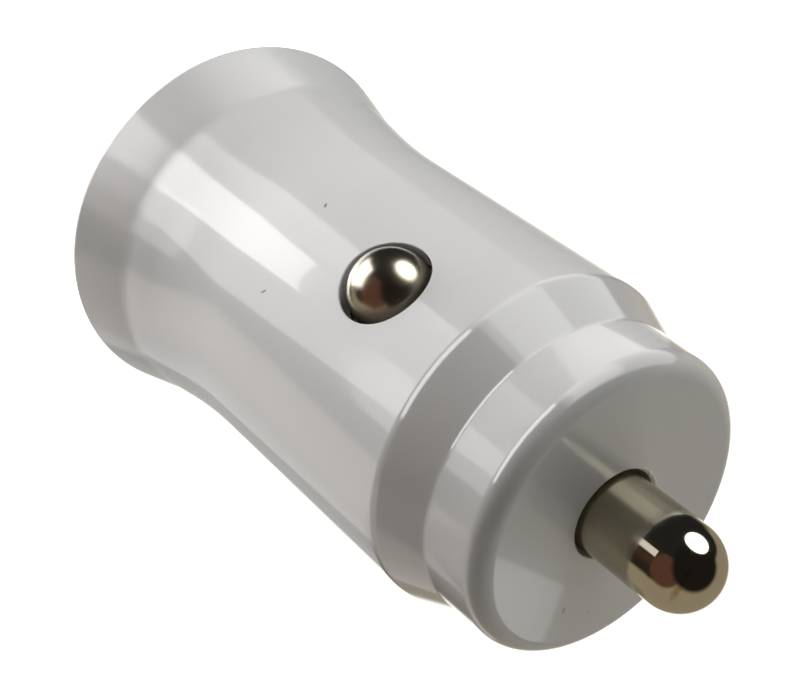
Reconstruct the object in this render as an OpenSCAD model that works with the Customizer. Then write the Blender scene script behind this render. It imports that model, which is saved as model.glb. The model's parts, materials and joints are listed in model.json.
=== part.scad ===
// Compact charger plug for a vehicle's 12 V socket, with a USB-A and a USB-C port.
// It stands on its port face. The origin is the middle of that face and +Z runs to the nose.
// The two side contacts lie on the X axis, and the ports are stacked along Y.

/* [Housing] */
// Diameter of the straight barrel, which fills the socket
body_d = 20.6; // [20.4:0.1:21.2]
// Wall of the barrel
body_wall = 1.5; // [1.3:0.05:1.6]
// How far the collar's rim stands out from the barrel, before the rim is rounded
flare_out = 2.12; // [1.8:0.02:2.6]
// Rounding of the collar's rim
rim_round = 0.4; // [0.2:0.05:0.5]
// Height of the bend between the collar and the root of its flare
bend_z = 4.9; // [4.5:0.1:5.3]
// How far the flare stands out from the barrel at that bend
bend_out = 0.81; // [0.76:0.01:0.86]
// Rounding of that bend
bend_round = 9; // [6:0.5:12]
// Height at which the root of the flare would meet the barrel
flare_len = 10.2; // [9.8:0.1:10.6]
// Radius of the hollow curve that blends the root of the flare into the barrel
flare_round = 40; // [30:1:44]
// Height of the edge where the barrel turns into the shoulder
shoulder_z = 30.55; // [30.2:0.05:31]
// Length of the sloping shoulder
shoulder_len = 2.85; // [2.5:0.05:3.4]
// Rounding of the edge between barrel and shoulder
shoulder_round = 1.4; // [0.6:0.1:2]
// Diameter of the neck at the foot of the shoulder
neck_d = 18.2; // [17.8:0.05:18.5]
// Rounding of the hollow line between shoulder and neck
neck_round = 0.8; // [0.4:0.1:1.2]
// Diameter of the nose at its sharp edge
nose_d = 17.95; // [17.8:0.05:18.4]
// Rounding of the nose edge
nose_round = 1.15; // [0.5:0.05:1.3]
// Length of the housing from port face to nose face
housing_len = 37.45; // [37.2:0.05:38.5]
// Wall of the nose, sides and end
nose_wall = 1.5; // [1.2:0.05:1.6]

/* [Port face] */
// Depth of the port plate below the rim
plate_inset = 0.3; // [0.2:0.05:0.5]
// Thickness of the port plate
plate_t = 1.6; // [1.2:0.1:2]
// Width of the rim's flat landing around the plate
rim_land = 1.5; // [1.3:0.1:1.8]
// Depth of the port mouths below the face of the plate
mouth_inset = 0.2; // [0.1:0.05:0.4]

/* [USB-A port] */
// Width of the opening
usb_a_w = 12.5; // [12.4:0.05:12.6]
// Height of the opening
usb_a_h = 5.12; // [5:0.02:5.2]
// Length of the short-body shell
usb_a_len = 10.2; // [9.8:0.1:10.6]
// Room on each side of the tongue
usb_a_tongue_side = 0.7; // [0.6:0.05:0.9]
// Thickness of the tongue
usb_a_tongue_t = 1.84; // [1.7:0.02:1.9]
// Height of the tongue's middle above the middle of the opening
usb_a_tongue_up = 0.97; // [0.9:0.01:1]
// Depth from the mouth to the front of the tongue
usb_a_tongue_in = 1.2; // [1:0.1:2]
// Thickness of the insulating block behind the tongue
usb_a_block_t = 2.4; // [2:0.1:2.8]
// Places of the contacts across the tongue
usb_a_pins = [-3.5, -1, 1, 3.5];
// Width of a contact
usb_a_pin_w = 1; // [0.8:0.05:1.1]

/* [USB-C port] */
// Width of the opening
usb_c_w = 8.34; // [8.3:0.02:8.4]
// Height of the opening
usb_c_h = 2.56; // [2.5:0.02:2.6]
// Length of the shell
usb_c_len = 7.4; // [7:0.1:8]
// Room on each side of the tongue
usb_c_tongue_side = 0.82; // [0.76:0.02:0.9]
// Thickness of the tongue's plastic core
usb_c_tongue_t = 0.5; // [0.4:0.05:0.55]
// Depth from the mouth to the front of the tongue
usb_c_tongue_in = 0.7; // [0.5:0.1:1.2]
// Thickness of the insulating block behind the tongue
usb_c_block_t = 1.6; // [1.4:0.1:2]
// Contacts on each side of the tongue
usb_c_pin_count = 12; // [8:2:12]
// Distance from contact to contact
usb_c_pitch = 0.5; // [0.45:0.01:0.52]
// Width of a contact
usb_c_pin_w = 0.25; // [0.2:0.01:0.28]

/* [Circuit board] */
// Thickness of the board
board_t = 1.2; // [1:0.1:1.3]
// Width of each rib of the rails that hold the board's edges
rail_w = 0.9; // [0.7:0.1:1.1]
// Reach of the rails over the board's edges
rail_grip = 0.7; // [0.5:0.1:0.9]
// Sheet of the port shells
shell_t = 0.3; // [0.25:0.01:0.32]
// Places of the USB-A shell's legs, as shares of its length
usb_a_leg_at = [0.27, 0.68];
// Places of the USB-C shell's legs, as shares of its length
usb_c_leg_at = [0.22, 0.78];
// Width of the shells' mounting legs
leg_w = 1.1; // [0.9:0.1:1.3]

/* [Parts on the board] */
// Diameter of the input capacitor
input_cap_d = 6.3; // [5.5:0.1:6.4]
// Length of the input capacitor
input_cap_len = 5.2; // [4.8:0.1:5.4]
// Diameter of the output capacitor
output_cap_d = 5; // [4.5:0.1:5.2]
// Length of the output capacitor
output_cap_len = 5; // [4.5:0.1:5.4]
// Side of the inductor's square block
inductor_side = 5.8; // [5:0.1:6]
// Height of the inductor
inductor_h = 3; // [2.4:0.1:3.4]
// Length of the buck controller's body
controller_len = 4.9; // [4.6:0.1:5]
// Width of the buck controller's body
controller_w = 3.9; // [3.6:0.1:4]
// Height of the buck controller's body
controller_h = 1.4; // [1.2:0.1:1.6]
// Side of the fast-charge controller's body
protocol_side = 3.6; // [3:0.1:4]
// Height of the fast-charge controller's body
protocol_h = 0.8; // [0.7:0.05:1]
// Length of the rectifier diode's body
diode_len = 4.2; // [3.8:0.1:4.4]
// Height of the rectifier diode's body
diode_h = 2.1; // [1.8:0.1:2.3]
// Length of the fuse
fuse_len = 3.2; // [2.8:0.1:3.4]
// Length of a ceramic chip capacitor
ceramic_len = 2; // [1.6:0.1:2.2]
// Length of a chip resistor
resistor_len = 1.6; // [1.2:0.1:1.7]

/* [Centre contact] */
// Diameter of the centre contact
tip_d = 4.84; // [4.6:0.02:5]
// Length of the contact that stands out of the nose
tip_out = 7.05; // [6.5:0.05:8]
// How far the centre contact presses in
tip_travel = 3; // [2.5:0.1:3.2]
// Diameter of the flange that stops it inside the nose
tip_flange_d = 6.4; // [6.2:0.1:6.6]
// Thickness of that flange
tip_flange_t = 1.2; // [1:0.1:1.4]
// Room between the contact and its hole in the nose
tip_gap = 0.24; // [0.15:0.01:0.3]

/* [Side contacts] */
// Height of the side contacts above the port face
side_z = 23.95; // [23.7:0.05:24.2]
// Diameter of a side contact
side_d = 4.7; // [4.4:0.05:4.8]
// How far the dome stands proud of the barrel
side_proud = 1.35; // [1.3:0.05:1.6]
// How far a side contact presses in
side_travel = 1.25; // [1:0.05:1.3]
// Diameter of its flange inside the barrel
side_flange_d = 6; // [5.8:0.1:6.1]
// Thickness of its flange
side_flange_t = 0.8; // [0.6:0.1:1]
// Room between a side contact and its hole in the barrel
side_gap = 0.28; // [0.2:0.01:0.32]

/* [Springs and terminals] */
// Wire of both springs
wire_d = 0.5; // [0.4:0.05:0.55]
// Outer diameter of both springs
spring_d = 4.3; // [4.1:0.1:4.4]
// Length of the centre spring between its terminal and the contact, not pressed
tip_spring_len = 6.8; // [6.6:0.05:7]
// Turns of the centre spring
tip_turns = 6; // [5:0.5:7]
// Turns of the side spring
side_turns = 11; // [9:0.5:13]
// Diameter of the spigots that centre the springs
spigot_d = 2.6; // [2.2:0.1:2.8]
// Length of the spigots
spigot_len = 1.8; // [1.2:0.1:2]
// Sheet of the terminals
terminal_t = 0.3; // [0.25:0.01:0.35]
// Width of the terminals
terminal_w = 2; // [1.6:0.1:2.2]

/* [Contact carrier] */
// Wall of the carrier's block under the side contacts' bore
carrier_under = 1.05; // [0.9:0.05:1.2]
// Wall of the carrier's block over the side contacts' bore
carrier_over = 1.25; // [1.1:0.05:1.6]
// Wall of the centre contact's guide tube
guide_wall = 1.2; // [1:0.1:1.4]
// Thickness of the ribs that centre the guide tube in the nose
guide_rib = 1.2; // [1:0.1:1.6]

/* [Fits] */
// Gap around parts that are seated and don't move
fit_gap = 0.1; // [0.05:0.01:0.12]
// Gap around the flanges, which slide
slide_gap = 0.2; // [0.15:0.01:0.25]
// Clearance left when a contact is pressed in all the way
stop_gap = 0.05; // [0.04:0.01:0.1]

/* [Hidden] */

// Colours
white = [0.94, 0.94, 0.93];
nickel = [0.74, 0.71, 0.66];
tin = [0.78, 0.78, 0.76];
gold = [0.83, 0.66, 0.33];
black = [0.08, 0.08, 0.09];
solder_mask = [0.05, 0.22, 0.12];
sleeve = [0.12, 0.13, 0.2];
ferrite = [0.25, 0.25, 0.27];
fired_clay = [0.62, 0.48, 0.33];
nylon = [0.16, 0.16, 0.17];
steel = [0.62, 0.62, 0.62];

// Smoothness: degrees turned by each step of a rounded outline, and fewest steps in it
arc_step = 6;
arc_steps_min = 6;
$fn = 96;
// A cut goes this far past the faces it opens
past = 0.5;
right_angle = 90;
half_turn = 180;
full_turn = 360;

// Radii and heights of the housing
body_r = body_d / 2;
bore_r = body_r - body_wall;
neck_r = neck_d / 2;
nose_bore_r = neck_r - nose_wall;
collar_r = body_r + flare_out;
bend_r = body_r + bend_out;
recess_r = collar_r - rim_land;
recess_z = plate_inset + plate_t;
floor_z = housing_len - nose_wall;
neck_z = shoulder_z + shoulder_len;
shoulder_slope = atan((body_r - neck_r) / shoulder_len);
inner_drop = body_wall * tan(shoulder_slope / 2);
inner_round = 0.4;
rail_setback = 1;
tip_hole_r = tip_d / 2 + tip_gap;
side_hole_r = side_d / 2 + side_gap;

// Bore of the carrier for a side contact's flange, and the carrier's lower face
side_bore_r = side_flange_d / 2 + slide_gap;
carrier_z = side_z - side_bore_r - carrier_under;

// Board and ports: the board's top lies in the XZ plane, USB-A on it and USB-C under it
board_side_gap = 0.5;
board_front_gap = 0.2;
board_back_gap = 0.3;
board_chamfer = 1;
board_half_w = bore_r - board_side_gap;
board_z0 = recess_z + board_front_gap;
board_z1 = carrier_z - board_back_gap;
mouth_z = plate_inset + mouth_inset;
usb_a_y = usb_a_h / 2 + shell_t;
usb_c_y = -board_t - usb_c_h / 2 - shell_t;
usb_a_back_z = mouth_z + usb_a_len;
usb_c_back_z = mouth_z + usb_c_len;
usb_a_corner = 0.5;
usb_a_tongue_w = usb_a_w - 2 * usb_a_tongue_side;
usb_c_tongue_w = usb_c_w - 2 * usb_c_tongue_side;
usb_a_pin_t = 0.2;
usb_c_pin_t = 0.1;
usb_a_pin_in = 0.6;
usb_c_pin_in = 0.4;
usb_a_foot = 0.5;
leg_past = 0.3;
leg_short = 0.15;
usb_a_leg_z = [for (share = usb_a_leg_at) mouth_z + share * usb_a_len];
usb_c_leg_z = [for (share = usb_c_leg_at) mouth_z + share * usb_c_len];
part_gap = 0.2;
lead_edge = 0.6;
part_z = usb_a_back_z + usb_a_foot + part_gap;
lead_row_z = board_z1 - lead_edge;

// Places of the parts on the board, along X and Z. Each row starts behind the port that it lies next to.
lead_out = 0.8;
row_z = usb_c_back_z + 1.1;
input_cap_at = [4.2, part_z];
output_cap_at = [4.5, lead_row_z - lead_out - output_cap_len];
inductor_at = [-4.3, part_z];
controller_at = [-4.4, row_z - part_gap];
protocol_at = [3.2, row_z - 3 * part_gap];
diode_at = [-4.6, controller_at.y + controller_len + 3 * part_gap];
fuse_at = [-4.4, inductor_at.y + inductor_side + part_gap];
ceramic_w = 1.25;
ceramic_h = 1.1;
ceramic_x = board_half_w - ceramic_len / 2 - 5 * part_gap;
ceramic_mid_z = (usb_a_leg_z[0] + usb_a_leg_z[1] + leg_w - ceramic_w) / 2;
ceramic_step = ceramic_w + 2 * part_gap;
ceramic_at = [
    [-ceramic_x, ceramic_mid_z], [ceramic_x, ceramic_mid_z],
    [ceramic_x, row_z], [ceramic_x, row_z + ceramic_step]
];
resistor_x = -0.3;
resistor_step = 1.4;
resistor_count = 4;
resistor_at = [for (i = [0:resistor_count - 1]) [resistor_x, row_z + i * resistor_step]];
resistor_w = 0.8;
resistor_h = 0.45;
fuse_w = 1.6;
fuse_h = 0.7;
end_cap = 0.3;
lead_d = 0.5;
lead_hole_gap = 0.12;
lead_pitch = 2.4;
can_groove_z = 1;
can_groove = 0.25;
can_lift = 0.05;
can_round = 0.35;
gull_t = 0.2;
gull_w = 0.42;
gull_pitch = 1.27;
gull_count = 4;
gull_out = 0.8;
chip_lift = 0.1;
protocol_pad_w = 0.3;
protocol_pads = 5;
protocol_pitch = 0.6;
protocol_pad_past = 0.15;
diode_w = 2.6;
diode_tab_w = 1.5;
inductor_round = 1;
inductor_groove = 0.3;
inductor_groove_h = inductor_h / 10;

// Springs, contacts and carrier
tip_r = tip_d / 2;
tip_end_z = housing_len + tip_out;
tip_flange_z = floor_z - tip_flange_t - stop_gap;
tip_pocket_r = tip_flange_d / 2 + slide_gap;
tip_stop_z = tip_flange_z - tip_travel - stop_gap;
spring_slack = 0.25;
spring_pocket_r = spring_d / 2 + slide_gap + spring_slack;
side_r = side_d / 2;
side_flange_r = side_flange_d / 2;
side_flange_x = sqrt(bore_r * bore_r - side_flange_r * side_flange_r) - stop_gap;
side_inner_x = side_flange_x - side_flange_t;
side_dome_x = body_r + side_proud - side_r;
side_stop_x = side_inner_x - side_travel - stop_gap;
spring_mean_r = (spring_d - wire_d) / 2;
coil_sides = 8;
coil_steps = 20;
coil_clearance = 0.06;
dead_pitch = wire_d + coil_clearance;
carrier_r = bore_r - fit_gap;
carrier_top_z = floor_z - fit_gap;
block_top_z = side_z + side_bore_r + carrier_over;
guide_r = tip_pocket_r + guide_wall;
rib_r = nose_bore_r - fit_gap;
core_pocket = [4.4, 1.5, 5.1];
core_pocket_x = 3.9;
core_pocket_y = 6;
tip_terminal_z = tip_flange_z - tip_spring_len;
pocket_z = tip_terminal_z - terminal_t;
tip_terminal_y = 6;
tip_foot_in = 1;
tip_foot_z = board_z1 - tip_foot_in;
terminal_pad = 1.1;
side_terminal_y = -spring_d / 2 - stop_gap;
side_terminal_under = 2.35;
side_terminal_top = pocket_z - side_terminal_under;
side_foot_in = 2.6;
side_foot_z = board_z1 - side_foot_in;

// Outlines with rounded corners. A corner is [x, y, radius], and a radius of zero leaves it sharp.
// The arc touches both sides of the corner, and its centre lies on the line that halves the angle.
function unit(v) = v / norm(v);
function corner_arc(before, corner, after, r) =
    let (
        a = unit(before - corner),
        b = unit(after - corner),
        half = acos(a * b) / 2,
        centre = corner + unit(a + b) * r / sin(half),
        from = corner + a * r / tan(half) - centre,
        to = corner + b * r / tan(half) - centre,
        start = atan2(from.y, from.x),
        turn = (atan2(to.y, to.x) - start + full_turn + half_turn) % full_turn - half_turn,
        steps = max(arc_steps_min, ceil(abs(turn) / arc_step))
    )
    [for (i = [0:steps]) centre + r * [cos(start + turn * i / steps), sin(start + turn * i / steps)]];
function rounded(corners) =
    let (count = len(corners), flat = [for (c = corners) [c.x, c.y]])
    [for (i = [0:count - 1])
        each corners[i][2] == 0
            ? [flat[i]]
            : corner_arc(flat[(i + count - 1) % count], flat[i], flat[(i + 1) % count], corners[i][2])];

module rounded_rect(w, h, r) {
    square([w - 2 * r, h], center = true);
    square([w, h - 2 * r], center = true);
    for (x = [-1, 1], y = [-1, 1]) {
        translate([x * (w / 2 - r), y * (h / 2 - r)]) circle(r = r);
    }
}

// A box centred on x, standing on the board's upper face (side 1) or under its lower face (side -1)
module on_board(size, at, side, lift = 0) {
    y0 = side > 0 ? lift : -board_t - lift - size.y;
    translate([at.x - size.x / 2, y0, at.y]) cube(size);
}

// Housing: one moulding with a flared collar, barrel, shoulder, neck and nose. It is turned from one
// outline, outside up and inside down, and then opened for the side contacts.
module housing_body() {
    rotate_extrude() {
        polygon(rounded([
            [recess_r, 0, 0],
            [collar_r, 0, rim_round],
            [bend_r, bend_z, bend_round],
            [body_r, flare_len, flare_round],
            [body_r, shoulder_z, shoulder_round],
            [neck_r, neck_z, neck_round],
            [nose_d / 2, housing_len, nose_round],
            [tip_hole_r, housing_len, 0],
            [tip_hole_r, floor_z, 0],
            [nose_bore_r, floor_z, inner_round],
            [nose_bore_r, neck_z - inner_drop, 0],
            [bore_r, shoulder_z - inner_drop, 0],
            [bore_r, recess_z, 0],
            [recess_r, recess_z, 0]
        ]));
    }
}

// Two ribs on each side of the bore, with the board's edge between them
module board_rails() {
    rail_x = board_half_w - rail_grip;
    rail_z0 = board_z0 + rail_setback;
    rail_len = board_z1 - rail_z0;
    for (side = [-1, 1], y = [fit_gap, -board_t - fit_gap - rail_w]) {
        intersection() {
            cylinder(r = bore_r + fit_gap, h = board_z1);
            translate([side > 0 ? rail_x : -rail_x - 2 * body_wall, y, rail_z0]) {
                cube([2 * body_wall, rail_w, rail_len]);
            }
        }
    }
}

module housing() {
    color(white) {
        difference() {
            union() {
                housing_body();
                board_rails();
            }
            for (side = [-1, 1]) {
                translate([0, 0, side_z]) rotate([0, side * right_angle, 0]) {
                    translate([0, 0, side_flange_x]) cylinder(r = side_hole_r, h = body_r);
                }
            }
        }
    }
}

// Port plate: a disc let into the rim, cut out for the two shells
module face_plate() {
    color(white) {
        translate([0, 0, plate_inset]) {
            linear_extrude(plate_t) {
                difference() {
                    circle(r = recess_r - fit_gap);
                    translate([0, usb_a_y]) usb_a_outline(shell_t + fit_gap);
                    translate([0, usb_c_y]) usb_c_outline(shell_t + fit_gap);
                }
            }
        }
    }
}

module usb_a_outline(grow) {
    rounded_rect(usb_a_w + 2 * grow, usb_a_h + 2 * grow, usb_a_corner);
}

module usb_c_outline(grow) {
    h = usb_c_h + 2 * grow;
    half_straight = (usb_c_w - usb_c_h) / 2;
    square([2 * half_straight, h], center = true);
    for (side = [-1, 1]) {
        translate([side * half_straight, 0]) circle(r = h / 2);
    }
}

// Legs of a port shell, through the board, or with a gap their slots in it
module usb_a_legs(gap = 0) {
    for (side = [-1, 1], z = usb_a_leg_z) {
        x = side * (usb_a_w + shell_t) / 2;
        translate([x - shell_t / 2 - gap, -board_t - leg_past - gap, z - gap]) {
            cube([shell_t + 2 * gap, board_t + leg_past + shell_t + 2 * gap, leg_w + 2 * gap]);
        }
    }
}

module usb_c_legs(gap = 0) {
    for (side = [-1, 1], z = usb_c_leg_z) {
        x = side * (usb_c_w + shell_t) / 2;
        translate([x - shell_t / 2 - gap, usb_c_y - gap, z - gap]) {
            cube([shell_t + 2 * gap, -leg_short - usb_c_y + 2 * gap, leg_w + 2 * gap]);
        }
    }
}

module usb_a_shell() {
    color(tin) {
        difference() {
            union() {
                translate([0, usb_a_y, mouth_z]) linear_extrude(usb_a_len) usb_a_outline(shell_t);
                usb_a_legs();
            }
            translate([0, usb_a_y, mouth_z - past]) {
                linear_extrude(usb_a_len - shell_t + past) usb_a_outline(0);
            }
            usb_a_pin_tails(fit_gap);
        }
    }
}

// Contact strips of the USB-A port: each lies under the tongue and ends in a tail on the board
module usb_a_pins_at(gap) {
    y = usb_a_y + usb_a_tongue_up - usb_a_tongue_t / 2 - usb_a_pin_t;
    z0 = mouth_z + usb_a_tongue_in + usb_a_pin_in;
    for (x = usb_a_pins) {
        translate([x - usb_a_pin_w / 2 - gap, y - gap, z0]) {
            cube([usb_a_pin_w + 2 * gap, usb_a_pin_t + gap, usb_a_back_z + usb_a_pin_t - z0]);
        }
    }
}

module usb_a_pin_tails(gap) {
    y = usb_a_y + usb_a_tongue_up - usb_a_tongue_t / 2;
    for (x = usb_a_pins) {
        translate([x - usb_a_pin_w / 2 - gap, -gap, usb_a_back_z - shell_t - gap]) {
            cube([usb_a_pin_w + 2 * gap, y + gap, shell_t + 2 * gap + past]);
        }
    }
}

module usb_a_tongue() {
    block_z = usb_a_back_z - shell_t - usb_a_block_t;
    tongue_z = mouth_z + usb_a_tongue_in;
    color("white") {
        difference() {
            union() {
                translate([0, usb_a_y, block_z]) {
                    linear_extrude(usb_a_block_t) usb_a_outline(-fit_gap);
                }
                translate([-usb_a_tongue_w / 2, usb_a_y + usb_a_tongue_up - usb_a_tongue_t / 2, tongue_z]) {
                    cube([usb_a_tongue_w, usb_a_tongue_t, block_z + past - tongue_z]);
                }
            }
            usb_a_pins_at(fit_gap / 2);
        }
    }
}

module usb_a_contacts() {
    y = usb_a_y + usb_a_tongue_up - usb_a_tongue_t / 2 - usb_a_pin_t;
    color(gold) {
        usb_a_pins_at(0);
        for (x = usb_a_pins) {
            translate([x - usb_a_pin_w / 2, 0, usb_a_back_z]) {
                cube([usb_a_pin_w, y + usb_a_pin_t, usb_a_pin_t]);
                cube([usb_a_pin_w, usb_a_pin_t, usb_a_foot]);
            }
        }
    }
}

module usb_c_shell() {
    color(tin) {
        difference() {
            union() {
                translate([0, usb_c_y, mouth_z]) linear_extrude(usb_c_len) usb_c_outline(shell_t);
                usb_c_legs();
            }
            translate([0, usb_c_y, mouth_z - past]) {
                linear_extrude(usb_c_len + 2 * past) usb_c_outline(0);
            }
        }
    }
}

module usb_c_tongue() {
    block_z = usb_c_back_z - usb_c_block_t;
    tongue_z = mouth_z + usb_c_tongue_in;
    color(black) {
        difference() {
            union() {
                translate([0, usb_c_y, block_z]) linear_extrude(usb_c_block_t) usb_c_outline(-fit_gap / 2);
                translate([-usb_c_tongue_w / 2, usb_c_y - usb_c_tongue_t / 2, tongue_z]) {
                    cube([usb_c_tongue_w, usb_c_tongue_t, block_z + past - tongue_z]);
                }
            }
            usb_c_pins(past, fit_gap / 2);
        }
    }
}

// Contacts of the USB-C port, in two rows, which run back through the block
module usb_c_pins(longer, gap) {
    z0 = mouth_z + usb_c_tongue_in + usb_c_pin_in;
    first = -(usb_c_pin_count - 1) / 2 * usb_c_pitch;
    for (i = [0:usb_c_pin_count - 1], row = [-1, 1]) {
        y = usb_c_y + row * (usb_c_tongue_t + usb_c_pin_t) / 2;
        translate([first + i * usb_c_pitch - usb_c_pin_w / 2 - gap, y - usb_c_pin_t / 2 - gap, z0]) {
            cube([usb_c_pin_w + 2 * gap, usb_c_pin_t + 2 * gap, usb_c_back_z + longer - z0]);
        }
    }
}

// The tails turn up to the board behind the block
module usb_c_contacts() {
    first = -(usb_c_pin_count - 1) / 2 * usb_c_pitch;
    row_y = usb_c_y - usb_c_tongue_t / 2 - usb_c_pin_t;
    color(gold) {
        usb_c_pins(usb_c_pin_t, 0);
        for (i = [0:usb_c_pin_count - 1]) {
            translate([first + i * usb_c_pitch - usb_c_pin_w / 2, row_y, usb_c_back_z]) {
                cube([usb_c_pin_w, -board_t - row_y, usb_c_pin_t]);
            }
        }
    }
}

// Board in the middle plane of the bore, slotted for the shells' legs and drilled for the leads
module main_board() {
    color(solder_mask) {
        difference() {
            rotate([right_angle, 0, 0]) {
                linear_extrude(board_t) {
                    polygon([
                        [-board_half_w, board_z0], [board_half_w, board_z0],
                        [board_half_w, board_z1 - board_chamfer], [board_half_w - board_chamfer, board_z1],
                        [board_chamfer - board_half_w, board_z1], [-board_half_w, board_z1 - board_chamfer]
                    ]);
                }
            }
            usb_a_legs(fit_gap);
            usb_c_legs(fit_gap);
            lead_holes(input_cap_at, input_cap_len);
            lead_holes(output_cap_at, output_cap_len);
        }
    }
}

module lead_holes(at, can_len) {
    for (side = [-1, 1]) {
        translate([at.x + side * lead_pitch / 2, past, at.y + can_len + lead_out]) {
            rotate([right_angle, 0, 0]) cylinder(d = lead_d + 2 * lead_hole_gap, h = board_t + 2 * past);
        }
    }
}

// Electrolytic capacitor lying on the board: a rolled can with a groove, and two leads bent into the board
module capacitor(d, can_len, at, side) {
    r = d / 2;
    y = side > 0 ? can_lift + r : -board_t - can_lift - r;
    color(sleeve) {
        translate([at.x, y, at.y]) {
            rotate_extrude() {
                polygon(rounded([
                    [0, 0, 0], [r, 0, can_round],
                    [r, can_len - can_groove_z - can_groove, 0],
                    [r - can_groove, can_len - can_groove_z, 0],
                    [r, can_len - can_groove_z + can_groove, 0],
                    [r, can_len, can_round / 2], [0, can_len, 0]
                ]));
            }
            for (x = [-1, 1]) {
                translate([x * lead_pitch / 2, 0, can_len - can_lift]) {
                    cylinder(d = lead_d, h = lead_out + can_lift);
                }
                translate([x * lead_pitch / 2, 0, can_len + lead_out]) {
                    sphere(d = lead_d);
                    rotate([side * right_angle, 0, 0]) cylinder(d = lead_d, h = r + can_lift + board_t);
                }
            }
        }
    }
}

module input_capacitor() {
    capacitor(input_cap_d, input_cap_len, input_cap_at, 1);
}

module output_capacitor() {
    capacitor(output_cap_d, output_cap_len, output_cap_at, -1);
}

// Shielded inductor: a square block with rounded corners, grooved where its two halves meet
module inductor() {
    half_h = (inductor_h - inductor_groove_h) / 2;
    core_side = inductor_side - inductor_groove;
    color(ferrite) {
        translate([inductor_at.x, 0, inductor_at.y + inductor_side / 2]) {
            rotate([-right_angle, 0, 0]) {
                linear_extrude(inductor_h) rounded_rect(core_side, core_side, inductor_round);
                for (y = [0, half_h + inductor_groove_h]) {
                    translate([0, 0, y]) {
                        linear_extrude(half_h) rounded_rect(inductor_side, inductor_side, inductor_round);
                    }
                }
            }
        }
    }
}

// Eight-legged chip: its gull-wing legs run from the sides of the body down to the board
module buck_controller() {
    mid_z = controller_at.y + controller_len / 2;
    leg_y = -board_t - chip_lift - controller_h / 2;
    color(black) {
        on_board([controller_w, controller_h, controller_len], controller_at, -1, chip_lift);
    }
    color(tin) {
        for (side = [-1, 1], i = [0:gull_count - 1]) {
            z = mid_z + (i - (gull_count - 1) / 2) * gull_pitch - gull_w / 2;
            x = controller_at.x + side * (controller_w / 2 + gull_out / 2);
            translate([x - gull_out / 2, leg_y, z]) cube([gull_out, gull_t, gull_w]);
            translate([x + side * gull_out / 2 - gull_t / 2, leg_y, z]) {
                cube([gull_t, -board_t - leg_y, gull_w]);
            }
        }
    }
}

// Leadless chip: its pads lie under the edges of the body
module fast_charge_controller() {
    mid = [protocol_at.x, protocol_at.y + protocol_side / 2];
    color(black) {
        on_board([protocol_side, protocol_h, protocol_side], protocol_at, -1, chip_lift);
    }
    color(tin) {
        for (i = [0:protocol_pads - 1], side = [-1, 1]) {
            along = (i - (protocol_pads - 1) / 2) * protocol_pitch;
            x = mid.x + side * (protocol_side / 2 - protocol_pad_past);
            translate([x - protocol_pad_w, -board_t - 2 * chip_lift, mid.y + along - protocol_pad_w / 2]) {
                cube([2 * protocol_pad_w, 2 * chip_lift, protocol_pad_w]);
            }
        }
    }
}

module rectifier_diode() {
    color(black) {
        on_board([diode_w, diode_h, diode_len], diode_at, -1, chip_lift);
    }
    color(tin) {
        for (z = [diode_at.y - gull_t, diode_at.y + diode_len]) {
            on_board([diode_tab_w, diode_h / 2, gull_t], [diode_at.x, z], -1);
        }
    }
}

// Chip with metal end caps, as fuse, ceramic capacitors and resistors are
module chip_part(size, at, side, body_colour) {
    color(body_colour) {
        on_board([size.x - 2 * end_cap, size.y, size.z], at, side);
    }
    color(tin) {
        for (end = [-1, 1]) {
            on_board([end_cap, size.y, size.z], [at.x + end * (size.x - end_cap) / 2, at.y], side);
        }
    }
}

module fuse() {
    chip_part([fuse_len, fuse_h, fuse_w], fuse_at, 1, "white");
}

module ceramic_capacitors() {
    for (at = ceramic_at) {
        chip_part([ceramic_len, ceramic_h, ceramic_w], at, -1, fired_clay);
    }
}

module chip_resistors() {
    for (at = resistor_at) {
        chip_part([resistor_len, resistor_h, resistor_w], at, -1, black);
    }
}

// Contact carrier: a moulded block in the barrel with the side contacts' bore across it, and a guide tube
// with four ribs in the nose, in which the centre contact's flange slides
module contact_carrier() {
    color(nylon) {
        difference() {
            union() {
                translate([0, 0, carrier_z]) cylinder(r = carrier_r, h = block_top_z - carrier_z);
                translate([0, 0, carrier_z]) cylinder(r = guide_r, h = carrier_top_z - carrier_z);
                for (turn = [0:right_angle:right_angle]) {
                    rotate([0, 0, turn]) {
                        translate([-rib_r, -guide_rib / 2, carrier_z]) {
                            cube([2 * rib_r, guide_rib, carrier_top_z - carrier_z - tip_flange_t]);
                        }
                    }
                }
            }
            translate([0, 0, tip_stop_z]) cylinder(r = tip_pocket_r, h = carrier_top_z);
            translate([0, 0, pocket_z]) cylinder(r = spring_pocket_r, h = carrier_top_z);
            translate([0, 0, side_z]) rotate([0, right_angle, 0]) {
                cylinder(r = spring_pocket_r, h = 2 * body_r, center = true);
            }
            for (side = [-1, 1]) {
                translate([0, 0, side_z]) rotate([0, side * right_angle, 0]) {
                    translate([0, 0, side_stop_x]) cylinder(r = side_bore_r, h = body_r);
                }
                for (x = [-1, 1]) {
                    translate([x * core_pocket_x, side * core_pocket_y, carrier_z]) {
                        cube([core_pocket.x, core_pocket.y, 2 * core_pocket.z], center = true);
                    }
                }
            }
            tip_terminal_path(fit_gap);
            side_terminal_path(fit_gap);
        }
    }
}

module slot_box(low, high, gap) {
    grow = [gap, gap, gap];
    translate(low - grow) cube(high - low + 2 * grow);
}

// Centre terminal: a disc under the spring, a tab out to the side, a leg down and a foot on the board
module tip_terminal_path(gap) {
    half = terminal_w / 2;
    slot_box([-half, 0, pocket_z], [half, tip_terminal_y + terminal_t, tip_terminal_z], gap);
    slot_box([-half, tip_terminal_y, tip_foot_z], [half, tip_terminal_y + terminal_t, tip_terminal_z], gap);
}

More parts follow.
